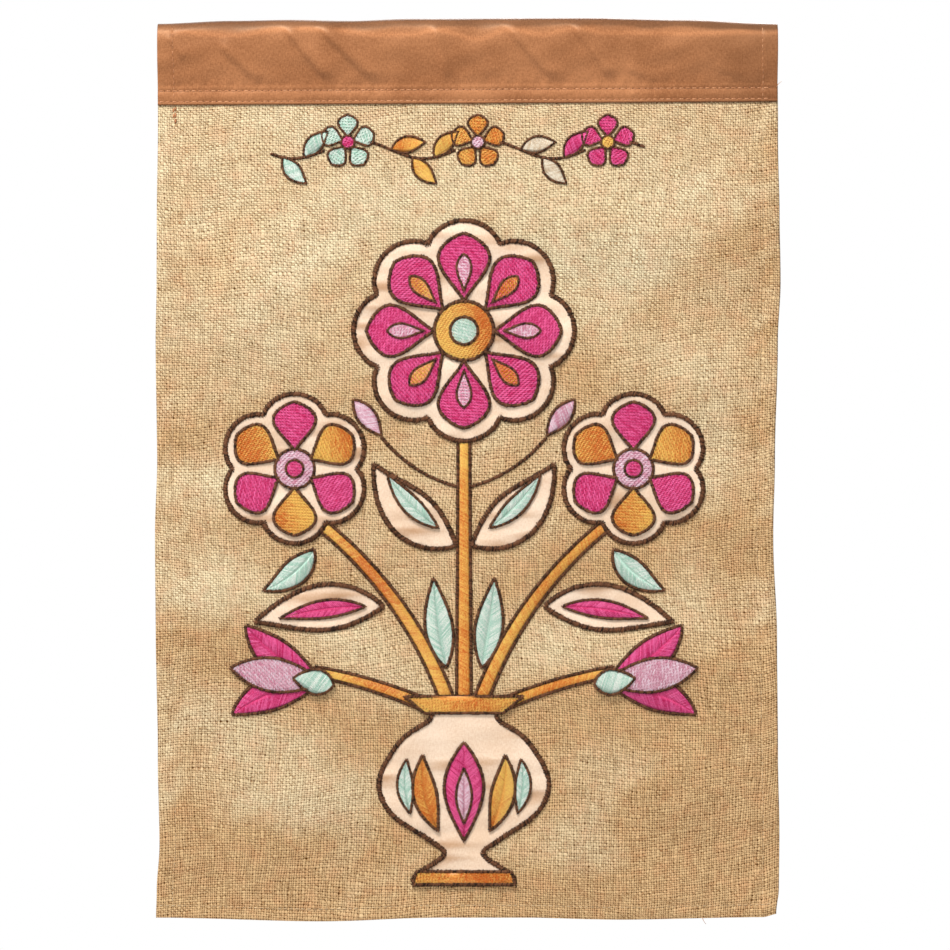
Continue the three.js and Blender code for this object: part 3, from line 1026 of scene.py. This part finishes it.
def running_stitch(threads, path, pitch, width, face, side, above=0):
    """A row of seam stitches along a path, on the front (side -1) or back (1) of a cloth.

    face gives the depth of the cloth's face at x, z and side.
    """
    count = int(lengths(path)[-1] / pitch)
    rng = threads.rng
    start = np.arange(count) * pitch + rng.uniform(-0.12, 0.12, count)
    centres = on_line(path, start[:, None] + pitch * 0.8 * STITCH_PLACES)
    for end in (0, -1):
        centres[:, end] += rng.normal(0, 0.09, (count, 2))
    lift = np.array([-0.22, 0.1, 0.1, -0.22]) + above
    depth = face(centres[..., 0], centres[..., 1], side) + side * lift
    # Each stitch's own tone, with painted shade at its ends
    tone = rng.normal(0.5, 0.16, (count, 1)) + STITCH_PAINTED_SHADING
    threads.lay(centres, depth, width, 0.36, tone, STITCH_TAPER)


def needle_hole_shade(threads, path, pitch, face, side):
    """Painted shade: small dark tubes in the holes between the stitches of a row."""
    count = int(lengths(path)[-1] / pitch)
    at = (np.arange(count)[:, None] + 0.9) * pitch + 0.4 * np.array([-1, -0.4, 0.4, 1])
    centres = on_line(path, at)
    lift = np.array([-0.1, 0.03, 0.03, -0.1])
    depth = face(centres[..., 0], centres[..., 1], side) + side * lift
    threads.lay(centres, depth, 0.75, 0.2, threads.rng.normal(0.4, 0.2, count), STITCH_TAPER)


# ---------------------------------------------------------------- the ornament

PAD_STEP = 3.0
PAD_SUNK = 0.12  # how far the pad lies below its stitches
PAD_TONE = 0.25
gold_waves = waves(seed=31, count=5, shortest=40, longest=90)

fills = {
    name: Threads(f"embroidery_{name}", seed=40 + i)
    for i, name in enumerate(("pink", "orange", "aqua", "lilac", "cream"))
}
outlines = Threads("outline_stitch", seed=51)
bloom_outlines = Threads("outline_stitch_blooms", seed=52)
edging = Threads("outline_stitch_applique", seed=53)


def gold(flat):
    """The orange thread runs from rust to gold over the cloth."""
    return np.clip(0.5 + 0.45 * gold_waves(flat[:, 0], flat[:, 1]), 0, 1)


def motif(colour, shape, way, turn, ground=ON_BURLAP, rise=0.5, line=LINE, cords=outlines):
    """One filled shape with its outline of brown satin stitch."""
    shape = shape.placed()
    threads = fills[colour]
    shade = gold if colour == "orange" else None
    pad = pad_height(shape.outline, ground, rise)
    under = raised(shape.outline, PAD_STEP, lambda places: pad(places) - PAD_SUNK, 0.02)
    points, triangles, walls, flat = under
    tone = np.full(len(points), PAD_TONE) if shade is None else 0.1 + 0.5 * gold(flat)
    threads.add(points, flat, tone, [triangles, walls])
    FILLS[way](threads, shape, turn, pad, shade)
    satin_cord(cords, shape.outline, line, ground, ground + rise * 0.5, 0.6)


def both(colour, shape, way, turn, **more):
    motif(colour, shape, way, turn, **more)
    motif(colour, shape.mirrored(), way, 180 - turn if way == "straight" else turn, **more)


def petals(x, z, count, start, length, width, colours, **more):
    """Petals round a middle, the first one pointing up."""
    for i in range(count):
        turn = 90 + i * 360 / count
        angle = math.radians(turn)
        place = (x + start * math.cos(angle), z + start * math.sin(angle))
        shape = blade(*place, length, width, turn, 0, PETAL_BELLY, PETAL_FULL)
        motif(colours[i % len(colours)], shape, "straight", turn + 62, **more)


def lay_leaves(rows):
    """The leaves of a table, on both sides apart from those that stand in the middle."""
    for row in rows:
        shape = blade(*(row[key] for key in "x z length width turn bend belly full".split()))
        lay = both if row["x"] else motif
        lay(row["colour"], shape, row["way"], row["stitch"], ground=row["ground"], line=row["line"])


def make_stems():
    for row in STEMS:
        lay = both if row["x"] else motif
        lay("orange", band(**row), "across", 62)
    lay_leaves(STEM_LEAVES)
    sprig = arc(4, -238, length=46, turn=16, bend=36, steps=30)[0]
    for path in (sprig, sprig[::-1] * [-1, 1]):
        satin_cord(outlines, path + [ORNAMENT_X, 0], 2.0, ON_BURLAP, ON_BURLAP, 0.6, closed=False)
    lay_leaves(BUDS)


def make_vase_figures():
    rim = VASE_FOOT + VASE_PROFILE[-1]["up"]
    foot_band = trapezium(VASE_FOOT, 26, VASE_FOOT + 6.5, 24)
    rim_band = trapezium(rim - 8, 20, rim + 0.5, 30)
    motif("orange", foot_band, "straight", 68, ground=ON_SATIN)
    motif("orange", rim_band, "straight", 68, ground=ON_SATIN)
    lay_leaves(VASE_LEAVES)


def make_bloom_figures():
    on_satin = dict(ground=ON_SATIN, cords=bloom_outlines)
    on_fill = dict(ground=ON_FILL, cords=bloom_outlines)
    x, z = 0, TOP_BLOOM_Z
    petals(x, z, 8, start=15, length=34.5, width=26, colours=["pink"], line=2.1, **on_satin)
    inner = dict(colours=["lilac", "orange"], rise=0.35, line=1.5)
    petals(x, z, 8, start=20, length=19, width=7.5, **inner, **on_fill)
    motif("orange", disc(x, z, 15), "straight", 30, rise=0.7, line=2.3, **on_satin)
    motif("aqua", disc(x, z, 7), "straight", -40, ground=1.7, cords=bloom_outlines)
    z = SIDE_BLOOM_Z
    for x in (-SIDE_BLOOM_X, SIDE_BLOOM_X):
        petals(x, z, 6, start=9, length=25, width=21.5, colours=["pink", "orange"], **on_satin)
        motif("lilac", disc(x, z, 10), "straight", 20, rise=0.6, **on_satin)
        motif("pink", disc(x, z, 4.5), "straight", -30, ground=1.6, line=1.6, cords=bloom_outlines)


VINE_Z = -67
VINE_HEIGHT = 4.5
VINE_WAVE = 2 * math.pi / 66
VINE_ENDS = (-98, 92)
FLOWER_REACH = 11
LEAF_PLACES = range(-92, 95, 11)
LEAF_CLEAR = 13  # from a flower's middle
LEAF_COLOURS = table(
    "until colour",
    (-42, "aqua"),
    (18, "orange"),
    (50, "cream"),
    (100, "pink"),
)
GARLAND_FLOWERS = table(
    "x petal middle",
    (-59, "aqua", "pink"),
    (7, "orange", "lilac"),
    (73, "pink", "orange"),
)


def vine_z(x):
    return VINE_Z + VINE_HEIGHT * math.sin(VINE_WAVE * (x + 4))


def vine_turn(x):
    return math.degrees(math.atan(VINE_HEIGHT * VINE_WAVE * math.cos(VINE_WAVE * (x + 4))))


def make_garland():
    """A small garland of leaves and flowers, changing colour from left to right."""
    flowers = [row["x"] + side * FLOWER_REACH for row in GARLAND_FLOWERS for side in (-1, 1)]
    stops = [VINE_ENDS[0], *flowers, VINE_ENDS[1]]
    for start, end in zip(stops[::2], stops[1::2]):
        path = np.array([[x + ORNAMENT_X, vine_z(x)] for x in np.arange(start, end + 0.1, 1.5)])
        satin_cord(outlines, path, 1.8, ON_BURLAP, ON_BURLAP, 0.5, closed=False)
    for number, x in enumerate(LEAF_PLACES):
        if any(abs(x - row["x"]) < LEAF_CLEAR for row in GARLAND_FLOWERS):
            continue
        colour = next(row["colour"] for row in LEAF_COLOURS if x < row["until"])
        up = 1 if number % 2 else -1
        turn = vine_turn(x) + up * 46
        shape = blade(x, vine_z(x), length=18, width=8.4, turn=turn, bend=up * -22, belly=0.9)
        motif(colour, shape, "across", 62, rise=0.4, line=1.4)
    for row in GARLAND_FLOWERS:
        x, z = row["x"], vine_z(row["x"])
        colours = [row["petal"]]
        petals(x, z, 5, start=2.4, length=11.6, width=10, colours=colours, rise=0.4, line=1.4)
        motif(row["middle"], disc(x, z, 3.4), "straight", 30, ground=0.6, rise=0.5, line=1.3)


# ---------------------------------------------------------------- seams

sleeve_thread = Threads("sleeve_stitching", seed=71)
# Painted shade in the sleeve's needle holes
needle = Threads("sleeve_needle_hole_shade", seed=72)
hem_thread = Threads("hem_stitching", seed=73)
rust_thread = Threads("loose_rust_thread", seed=74)


def make_sleeve_seams():
    left, right = SIDE_EDGES[0]["left"], SIDE_EDGES[0]["right"]
    xs = np.arange(left + 0.6, right - 0.6, 1.0)
    for side in (-1, 1):
        for row in SEAM_ROWS:
            path = np.stack([xs, sleeve_bottom(xs) + row], 1)
            running_stitch(sleeve_thread, path, SEAM_PITCH, 0.7, sleeve_face, side)
            needle_hole_shade(needle, path, SEAM_PITCH, sleeve_face, side)
        for x in (left + SIDE_HEM - 0.2, right - SIDE_HEM + 0.6):
            levels = np.arange(-5.0, sleeve_bottom(x) + 1, -1.0)
            path = np.stack([x + 0.25 * np.sin(levels / 7), levels], 1)
            running_stitch(sleeve_thread, path, HEM_PITCH, 0.5, sleeve_face, side)


def panel_face(x, z, side):
    """Depth of the panel's front or back face, with its hems."""
    edge = np.minimum(x - left_edge(z), right_edge(z) - x)
    front, back = panel_faces(edge, z - PANEL_BOTTOM)
    return panel_depth(x, z) + (back if side > 0 else -front)


def make_hem_seams():
    levels = np.arange(SLEEVE_BOTTOM_RIGHT - 2, PANEL_BOTTOM + BOTTOM_HEM, -1.0)
    xs = np.arange(-157.0, 156.0)
    paths = [
        np.stack([left_edge(levels) + SIDE_HEM + 0.2 * np.sin(levels / 11), levels], 1),
        np.stack([right_edge(levels) - SIDE_HEM + 0.2 * np.sin(levels / 13), levels], 1),
        np.stack([xs, eased(BOTTOM_EDGE, "x", "z", xs) + BOTTOM_HEM], 1),
    ]
    for side in (-1, 1):
        for path in paths:
            running_stitch(hem_thread, path, HEM_PITCH, 0.5, panel_face, side)


# Strands of rust thread, by their place beside the left hem's line and their ends
RUST_STRANDS = table(
    "beside lean top bottom",
    (-0.2, 0, -45.6, -54),
    (0.5, 0.04, -45.2, -57),
    (1.2, -0.05, -48, -56),
)
CUT_ENDS = table(
    "x z turn bend",
    (156.6, -35.5, 70, -50),
    (119, -456.5, -80, 40),
)


def make_loose_threads():
    """A tuft of rust thread left on the left hem's line, and two cut thread ends."""
    for strand in RUST_STRANDS:
        levels = np.arange(strand["top"], strand["bottom"], -1.0)
        x = left_edge(levels) + SIDE_HEM + strand["beside"]
        path = np.stack([x + strand["lean"] * (levels - strand["bottom"]), levels], 1)
        running_stitch(rust_thread, path, 3.1, 1.0, panel_face, -1, above=0.1)
    for end in CUT_ENDS:
        line, _ = arc(end["x"], end["z"], 4.0, end["turn"], end["bend"], 7)
        depth = np.linspace(-2.0, -3.2, 8)[None]
        sleeve_thread.lay(line[None], depth, 0.4, 0.4, np.array([0.5]), np.linspace(1, 0.5, 8))


# ---------------------------------------------------------------- materials


class Value:
    """A value in a material's nodes. Arithmetic with it adds nodes to the material."""

    def __init__(self, shader, socket):
        self.shader, self.socket = shader, socket

    def __add__(self, other):
        return self.shader.math("ADD", self, other)

    def __sub__(self, other):
        return self.shader.math("SUBTRACT", self, other)

    def __rsub__(self, other):
        return self.shader.math("SUBTRACT", other, self)

    def __mul__(self, other):
        return self.shader.math("MULTIPLY", self, other)

    def __truediv__(self, other):
        return self.shader.math("DIVIDE", self, other)


class Shader:
    """A material's node tree, with short ways to add its nodes."""

    def __init__(self, name):
        self.material = bpy.data.materials.new(name)
        self.material.use_nodes = True
        self.tree = self.material.node_tree
        self.surface = self.tree.nodes["Principled BSDF"]

    def put(self, socket, value):
        if isinstance(value, Value):
            self.tree.links.new(value.socket, socket)
        else:
            socket.default_value = value

    def node(self, kind, **settings):
        made = self.tree.nodes.new(kind)
        for key, value in settings.items():
            setattr(made, key, value)
        return made

    def value(self, kind, inputs=(), output=0, **settings):
        """Add a node with its inputs in their order, and return one of its outputs."""
        made = self.node(kind, **settings)
        for socket, item in zip(made.inputs, inputs):
            self.put(socket, item)
        return Value(self, made.outputs[output])

    def math(self, operation, *values):
        return self.value("ShaderNodeMath", values, operation=operation)

    def odd(self, number):
        """1 at odd whole numbers and 0 at even ones."""
        return self.math("PINGPONG", number, 1.0)

    def mixed(self, part, a, b, **settings):
        made = self.node("ShaderNodeMix", **settings)
        for key, value in (("Factor", part), ("A", a), ("B", b)):
            self.put(next(s for s in made.inputs if s.name == key and s.enabled), value)
        return Value(self, next(s for s in made.outputs if s.enabled))

    def mix(self, part, a, b, blend="MIX", clamp=True):
        """Two colours mixed. Without the clamp, a part below 0 lightens a product."""
        return self.mixed(part, a, b, data_type="RGBA", blend_type=blend, clamp_factor=clamp)

    def blend(self, part, a, b):
        return self.mixed(part, a, b, data_type="FLOAT")

    def remap(self, value, low, high, to_low, to_high):
        return self.value("ShaderNodeMapRange", (value, low, high, to_low, to_high))

    def point(self, x, y, z=0.0):
        return self.value("ShaderNodeCombineXYZ", (x, y, z))

    def noise(self, vector, scale=1.0, detail=1.0):
        return self.value("ShaderNodeTexNoise", (vector, 0.0, scale, detail), "Fac")

    def speck(self, x, y, z=0.0):
        """A random value for each whole x, y and z."""
        where = (self.point(x, y, z),)
        return self.value("ShaderNodeTexWhiteNoise", where, "Value", noise_dimensions="3D")

    def uv(self):
        split = self.node("ShaderNodeSeparateXYZ")
        self.put(split.inputs[0], self.value("ShaderNodeUVMap", uv_map="cloth"))
        return Value(self, split.outputs[0]), Value(self, split.outputs[1])

    def tone(self):
        """The tone that a mesh brings with it, painted light and shade included."""
        return self.value("ShaderNodeAttribute", output="Fac", attribute_name="tone")

    def bump(self, height, distance):
        made = self.node("ShaderNodeBump")
        self.put(made.inputs["Distance"], distance)
        self.put(made.inputs["Height"], height)
        self.put(self.surface.inputs["Normal"], Value(self, made.outputs[0]))

    def finish(self, colour, roughness, specular):
        self.put(self.surface.inputs["Base Color"], colour)
        self.put(self.surface.inputs["Roughness"], roughness)
        self.put(self.surface.inputs["Specular IOR Level"], specular)
        return self.material


YARN_ACROSS = 0.00130
YARN_DOWN = 0.00124
NEAR_TOP, NEAR_FOOT = -0.12, -0.4  # between these heights the weave grows softer and deeper
STRAW_DARK, STRAW_LIGHT = srgb(138, 88, 22), srgb(251, 232, 190)
BLUSH = srgb(236, 184, 144)
# Deepens the cloth towards the foot and right, and as painted shade on its folds
DEEPER_AND_SHADED = (0.93, 0.75, 0.6, 1)
# Painted shade in the gaps between the yarns
GAP_SHADE = srgb(90, 52, 2)
BURLAP_BUMP = 0.0003


def weave_place(s, flat_u, flat_v):
    """Places counted in yarns, which drift over the cloth and wander along each yarn."""
    u, v = flat_u / YARN_ACROSS, flat_v / YARN_DOWN
    slow = s.point(u * 0.011, v * 0.011)
    wander_u = s.noise(s.point(u * 0.4, v * 0.06))
    wander_v = s.noise(s.point(u * 0.06, v * 0.4, 7.0))
    drift_u = s.remap(s.noise(slow, 1.0, 0.0), 0.0, 1.0, -4.0, 4.0)
    drift_v = s.remap(s.noise(slow, 1.7, 0.0), 0.0, 1.0, -5.0, 5.0)
    u = u + drift_u + s.remap(wander_u, 0.0, 1.0, -1.0, 1.0)
    v = v + drift_v + s.remap(wander_v, 0.0, 1.0, -1.0, 1.0)
    return u, v


def burlap_deepening_and_shade(s, flat_u, flat_v):
    """How much deeper the colour is: at the foot and the right, and as painted shade where the cloth
    faces down.
    """
    low = s.remap(flat_v, -0.06, -0.46, 0.0, 0.75)
    right = s.remap(flat_u, 0.1, 0.315, 0.0, 0.27)
    patch = s.remap(s.noise(s.point(flat_u, flat_v, 5.0), 22.0, 2.0), 0.35, 0.65, -0.15, 0.15)
    # Painted shade where the folds face down and right, painted light on the paler patches
    facing = s.remap(s.tone(), -0.14, 0.14, -0.55, 0.55)
    return s.math("MINIMUM", low + right + (patch + facing) + 0.2, 1.0)


def burlap_material():
    """A plain weave of uneven straw yarns with painted shade in the gaps between them."""
    s = Shader("burlap")
    flat_u, flat_v = s.uv()
    u, v = weave_place(s, flat_u, flat_v)
    deepening_and_shade = burlap_deepening_and_shade(s, flat_u, flat_v)
    row_u, row_v = s.math("FLOOR", u), s.math("FLOOR", v)
    in_u, in_v = s.math("FRACT", u) * 2.0 - 1.0, s.math("FRACT", v) * 2.0 - 1.0
    over = s.odd(row_u + row_v)

    # Tone and thickness change slowly along a yarn, and at once from yarn to yarn
    warp = s.noise(s.point(row_u * 7.31, v * 0.13), 1.0, 2.0)
    weft = s.noise(s.point(u * 0.13, row_v * 7.31, 3.0), 1.0, 2.0)
    width = s.remap(s.blend(over, weft, warp), 0.3, 0.7, 0.86, 1.16)
    across = s.blend(over, in_v, in_u) / width
    along = s.blend(over, in_u, in_v)
    across2, along2 = across * across, along * along
    s.bump((1.0 - across2 * 0.75) * (1.0 - along2 * 0.6), BURLAP_BUMP)

    crossing = s.remap(s.speck(row_u, row_v), 0.0, 1.0, 0.62, 0.86)
    weft_streak = s.remap(weft, 0.34, 0.66, -0.16, 0.16)
    warp_streak = s.remap(warp, 0.34, 0.66, -0.24, 0.24)
    # Painted light and shade: crossings where one yarn lies over are lighter, the others darker, less
    # so towards the foot
    lift = s.remap(over, 0.0, 1.0, -0.15, 0.15) * s.remap(flat_v, NEAR_TOP, NEAR_FOOT, 1.0, 0.5)
    hair = s.remap(s.noise(s.point(u * 3.0, v * 3.0)), 0.3, 0.7, -0.33, 0.33)
    tone = crossing + s.blend(over, weft_streak, warp_streak) + (lift + hair)
    tone = s.math("MINIMUM", s.math("MAXIMUM", tone, 0.0), 0.93)
    cloth = s.mix(tone, STRAW_DARK, STRAW_LIGHT)
    blush = s.remap(s.noise(s.point(flat_u, flat_v, 9.0), 110.0, 3.0), 0.45, 0.7, 0.0, 0.32)
    cloth = s.mix(blush, cloth, BLUSH)
    # Darker towards the foot and right, with painted shade and painted light from the folds
    cloth = s.mix(deepening_and_shade, cloth, DEEPER_AND_SHADED, "MULTIPLY", clamp=False)

    # Painted shade in the gaps and beside the yarns, deeper where the cloth is deepened
    # The gaps lie at the corners of the crossings, and at every other corner they nearly close
    gap = s.remap(across2 + along2, 0.7, 1.35, 0.0, 1.0)
    beside = s.remap(in_u * in_u, 0.4, 1.0, 0.0, 0.45) * s.remap(flat_v, NEAR_TOP, NEAR_FOOT, 0.5, 1.0)
    corner_u, corner_v = s.math("ROUND", u), s.math("ROUND", v)
    deep = s.remap(s.speck(corner_u, corner_v, 9.0), 0.0, 1.0, 0.78, 1.0)
    closed = s.remap(flat_v, NEAR_TOP, NEAR_FOOT, 0.3, 0.6)
    deep = deep * s.blend(s.odd(corner_u + corner_v), closed, 1.0) + deepening_and_shade * 0.22
    cloth = s.mix(s.math("MAXIMUM", gap, beside) * deep, cloth, GAP_SHADE)
    return s.finish(cloth, 0.92, 0.15)


GRAIN_ALONG, GRAIN_ACROSS = 600.0, 1500.0  # the satin's grain to a metre, by the yarns' direction
# Painted shade in the satin's wrinkles
WRINKLE_SHADE = (0.68, 0.55, 0.44, 1)
SATIN_BUMP = 0.00003


def satin_material(name, dark, light, roughness, specular, tint, wrinkled):
    """Satin: the fine grain of its weave, soft clouds, the painted light and shade of the mesh's tone,
    and some small level wrinkles with painted shade in them.
    """
    s = Shader(name)
    u, v = s.uv()
    weft = s.noise(s.point(u * GRAIN_ACROSS, v * GRAIN_ALONG), 1.0, 2.0)
    warp = s.noise(s.point(u * GRAIN_ALONG, v * GRAIN_ACROSS), 1.0, 2.0)
    weave = weft * 0.6 + warp * 0.4
    cloud = s.noise(s.point(u, v), 30.0, 2.0)
    colour = s.mix(s.remap(weave * 0.6 + cloud * 0.4, 0.4, 0.6, 0.0, 1.0), dark, light)
    # The mesh's tone multiplies the colour: painted shade and a painted highlight on the sleeve
    colour = s.mix(1.0, colour, 1.0 - s.tone(), "MULTIPLY")
    wrinkle = s.noise(s.point(u * 22.0, v * 120.0), 1.0, 1.0)
    place = s.remap(s.noise(s.point(u, v, 4.0), 24.0, 0.0), 0.42, 0.58, 0.0, wrinkled)
    # Painted shade in the wrinkles
    colour = s.mix(s.remap(wrinkle, 0.5, 0.66, 0.0, 1.0) * place, colour, WRINKLE_SHADE, "MULTIPLY")
    s.bump(wrinkle * place * 40.0 + weave, SATIN_BUMP)
    s.put(s.surface.inputs["Specular Tint"], tint)
    return s.finish(colour, roughness, specular)


FIBRE_ALONG, FIBRE_ROUND = 2200.0, 3000.0
FIBRE_BUMP = 0.00003


def thread_material(name, dark, light, gloss):
    s = Shader(name)
    u, v = s.uv()
    fibre = s.noise(s.point(u * FIBRE_ALONG, v * FIBRE_ROUND), 1.0, 1.0)
    s.bump(fibre, FIBRE_BUMP)
    # The stitch's tone, its painted shade and highlight included, and its fibres
    part = s.tone() + s.remap(fibre, 0.33, 0.67, -0.44, 0.44)
    return s.finish(s.mix(part, dark, light), 0.4, gloss)


# ---------------------------------------------------------------- make it

panel = make_panel()
sleeve = make_sleeve()
panel.data.materials.append(burlap_material())
sleeve.data.materials.append(
    satin_material(
        "sleeve_satin",
        dark=srgb(160, 102, 64),
        light=srgb(197, 133, 89),
        roughness=0.42,
        specular=0.28,
        tint=(1.0, 0.74, 0.5, 1),
        wrinkled=0.0,
    )
)
cream_satin = satin_material(
    "cream_satin",
    dark=srgb(236, 202, 170),
    light=srgb(252, 226, 200),
    roughness=0.3,
    specular=0.5,
    tint=(1.0, 0.93, 0.86, 1),
    wrinkled=1.0,
)
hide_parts("panel")
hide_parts("sleeve")

for name, shape in APPLIQUES.items():
    make_applique(name, shape).data.materials.append(cream_satin)
    satin_cord(edging, shape.placed().outline, EDGE, 0.0, 0.55, 0.95)

make_stems()
lay_leaves(APPLIQUE_LEAVES)
lay_leaves(TULIP)
make_vase_figures()
make_bloom_figures()
make_garland()
make_sleeve_seams()
make_hem_seams()
make_loose_threads()

BROWN = (srgb(24, 10, 4), srgb(140, 94, 66), 0.15)
on_panel = [
    fills["pink"].build(srgb(212, 26, 102), srgb(255, 118, 180)),
    fills["orange"].build(srgb(220, 106, 28), srgb(255, 214, 112)),
    fills["aqua"].build(srgb(174, 217, 196), srgb(252, 255, 246)),
    fills["lilac"].build(srgb(222, 140, 166), srgb(255, 234, 242)),
    fills["cream"].build(srgb(214, 186, 150), srgb(252, 242, 222)),
    outlines.build(*BROWN),
    bloom_outlines.build(*BROWN),
    edging.build(*BROWN),
    hem_thread.build(srgb(176, 140, 98), srgb(240, 214, 172)),
    rust_thread.build(srgb(118, 62, 22), srgb(222, 150, 102)),
]
on_sleeve = [
    sleeve_thread.build(srgb(164, 100, 60), srgb(222, 164, 120)),
    # Painted shade in the needle holes
    needle.build(srgb(84, 46, 26), srgb(130, 80, 50)),
]

# ---------------------------------------------------------------- stage, light and camera

FRAME_SIDE = 0.4826  # metres of the flag's plane that the picture shows
FRAME_MIDDLE = (0.0036, -0.2322)
LENS = 180
SENSOR = 36
FLOOR_Z = -0.76
FLOOR_REACH = 1.6
FADE_START = 0.7
WORLD_LIGHT = 0.34
LAMPS = table(
    "name place width height power",
    ("key", (-0.6, -1.0, 1.4), 0.5, 0.5, 47),
    ("front_strip", (0, -2.0, 0.8), 1.8, 0.3, 4),
    ("back", (0.4, 1.6, 0.9), 1.0, 1.0, 18),
)

scene = bpy.context.scene
camera_data = bpy.data.cameras.new("camera")
camera_data.lens = LENS
camera_data.sensor_width = SENSOR
camera = bpy.data.objects.new("camera", camera_data)
camera.location = (FRAME_MIDDLE[0], -FRAME_SIDE * LENS / SENSOR, FRAME_MIDDLE[1])
camera.rotation_euler = (math.radians(90), 0, 0)
scene.collection.objects.link(camera)
scene.camera = camera


def add_lamp(name, place, width, height, power):
    data = bpy.data.lights.new(name, "AREA")
    data.shape = "RECTANGLE"
    data.size, data.size_y = width, height
    data.energy = power
    lamp = bpy.data.objects.new(name, data)
    lamp.location = place
    ahead = Vector((0, 0, -0.2)) - Vector(place)
    lamp.rotation_euler = ahead.to_track_quat("-Z", "Y").to_euler()
    scene.collection.objects.link(lamp)


for lamp in LAMPS:
    add_lamp(**lamp)


def make_floor():
    """A pale floor that fades out before it reaches the picture."""
    corners = [(-1, -1), (1, -1), (1, 1), (-1, 1)]
    mesh = bpy.data.meshes.new("floor")
    points = [(x * FLOOR_REACH, y * FLOOR_REACH, FLOOR_Z) for x, y in corners]
    mesh.from_pydata(points, [], [(0, 1, 2, 3)])
    made = bpy.data.objects.new("floor", mesh)
    scene.collection.objects.link(made)
    s = Shader("floor")
    place = s.value("ShaderNodeTexCoord", output="Object")
    away = s.value("ShaderNodeVectorMath", [place], "Value", operation="LENGTH")
    s.put(s.surface.inputs["Alpha"], s.remap(away, FADE_START, FLOOR_REACH, 1.0, 0.0))
    s.finish((0.92, 0.92, 0.92, 1), 0.9, 0.1)
    mesh.materials.append(s.material)


def make_world():
    """White where the camera, a gloss or glass looks at it, and plain soft light otherwise."""
    world = bpy.data.worlds.new("studio")
    scene.world = world
    world.use_nodes = True
    nodes, links = world.node_tree.nodes, world.node_tree.links
    back = nodes["Background"]
    back.inputs["Color"].default_value = (1, 1, 1, 1)
    path = nodes.new("ShaderNodeLightPath")
    seen = path.outputs["Is Camera Ray"]
    for name in ("Is Glossy Ray", "Is Transmission Ray"):
        either = nodes.new("ShaderNodeMath")
        either.operation = "MAXIMUM"
        links.new(seen, either.inputs[0])
        links.new(path.outputs[name], either.inputs[1])
        seen = either.outputs[0]
    strength = nodes.new("ShaderNodeMapRange")
    links.new(seen, strength.inputs["Value"])
    strength.inputs["To Min"].default_value = WORLD_LIGHT
    strength.inputs["To Max"].default_value = 1.0
    links.new(strength.outputs[0], back.inputs["Strength"])


make_floor()
make_world()
scene.view_settings.view_transform = "Standard"
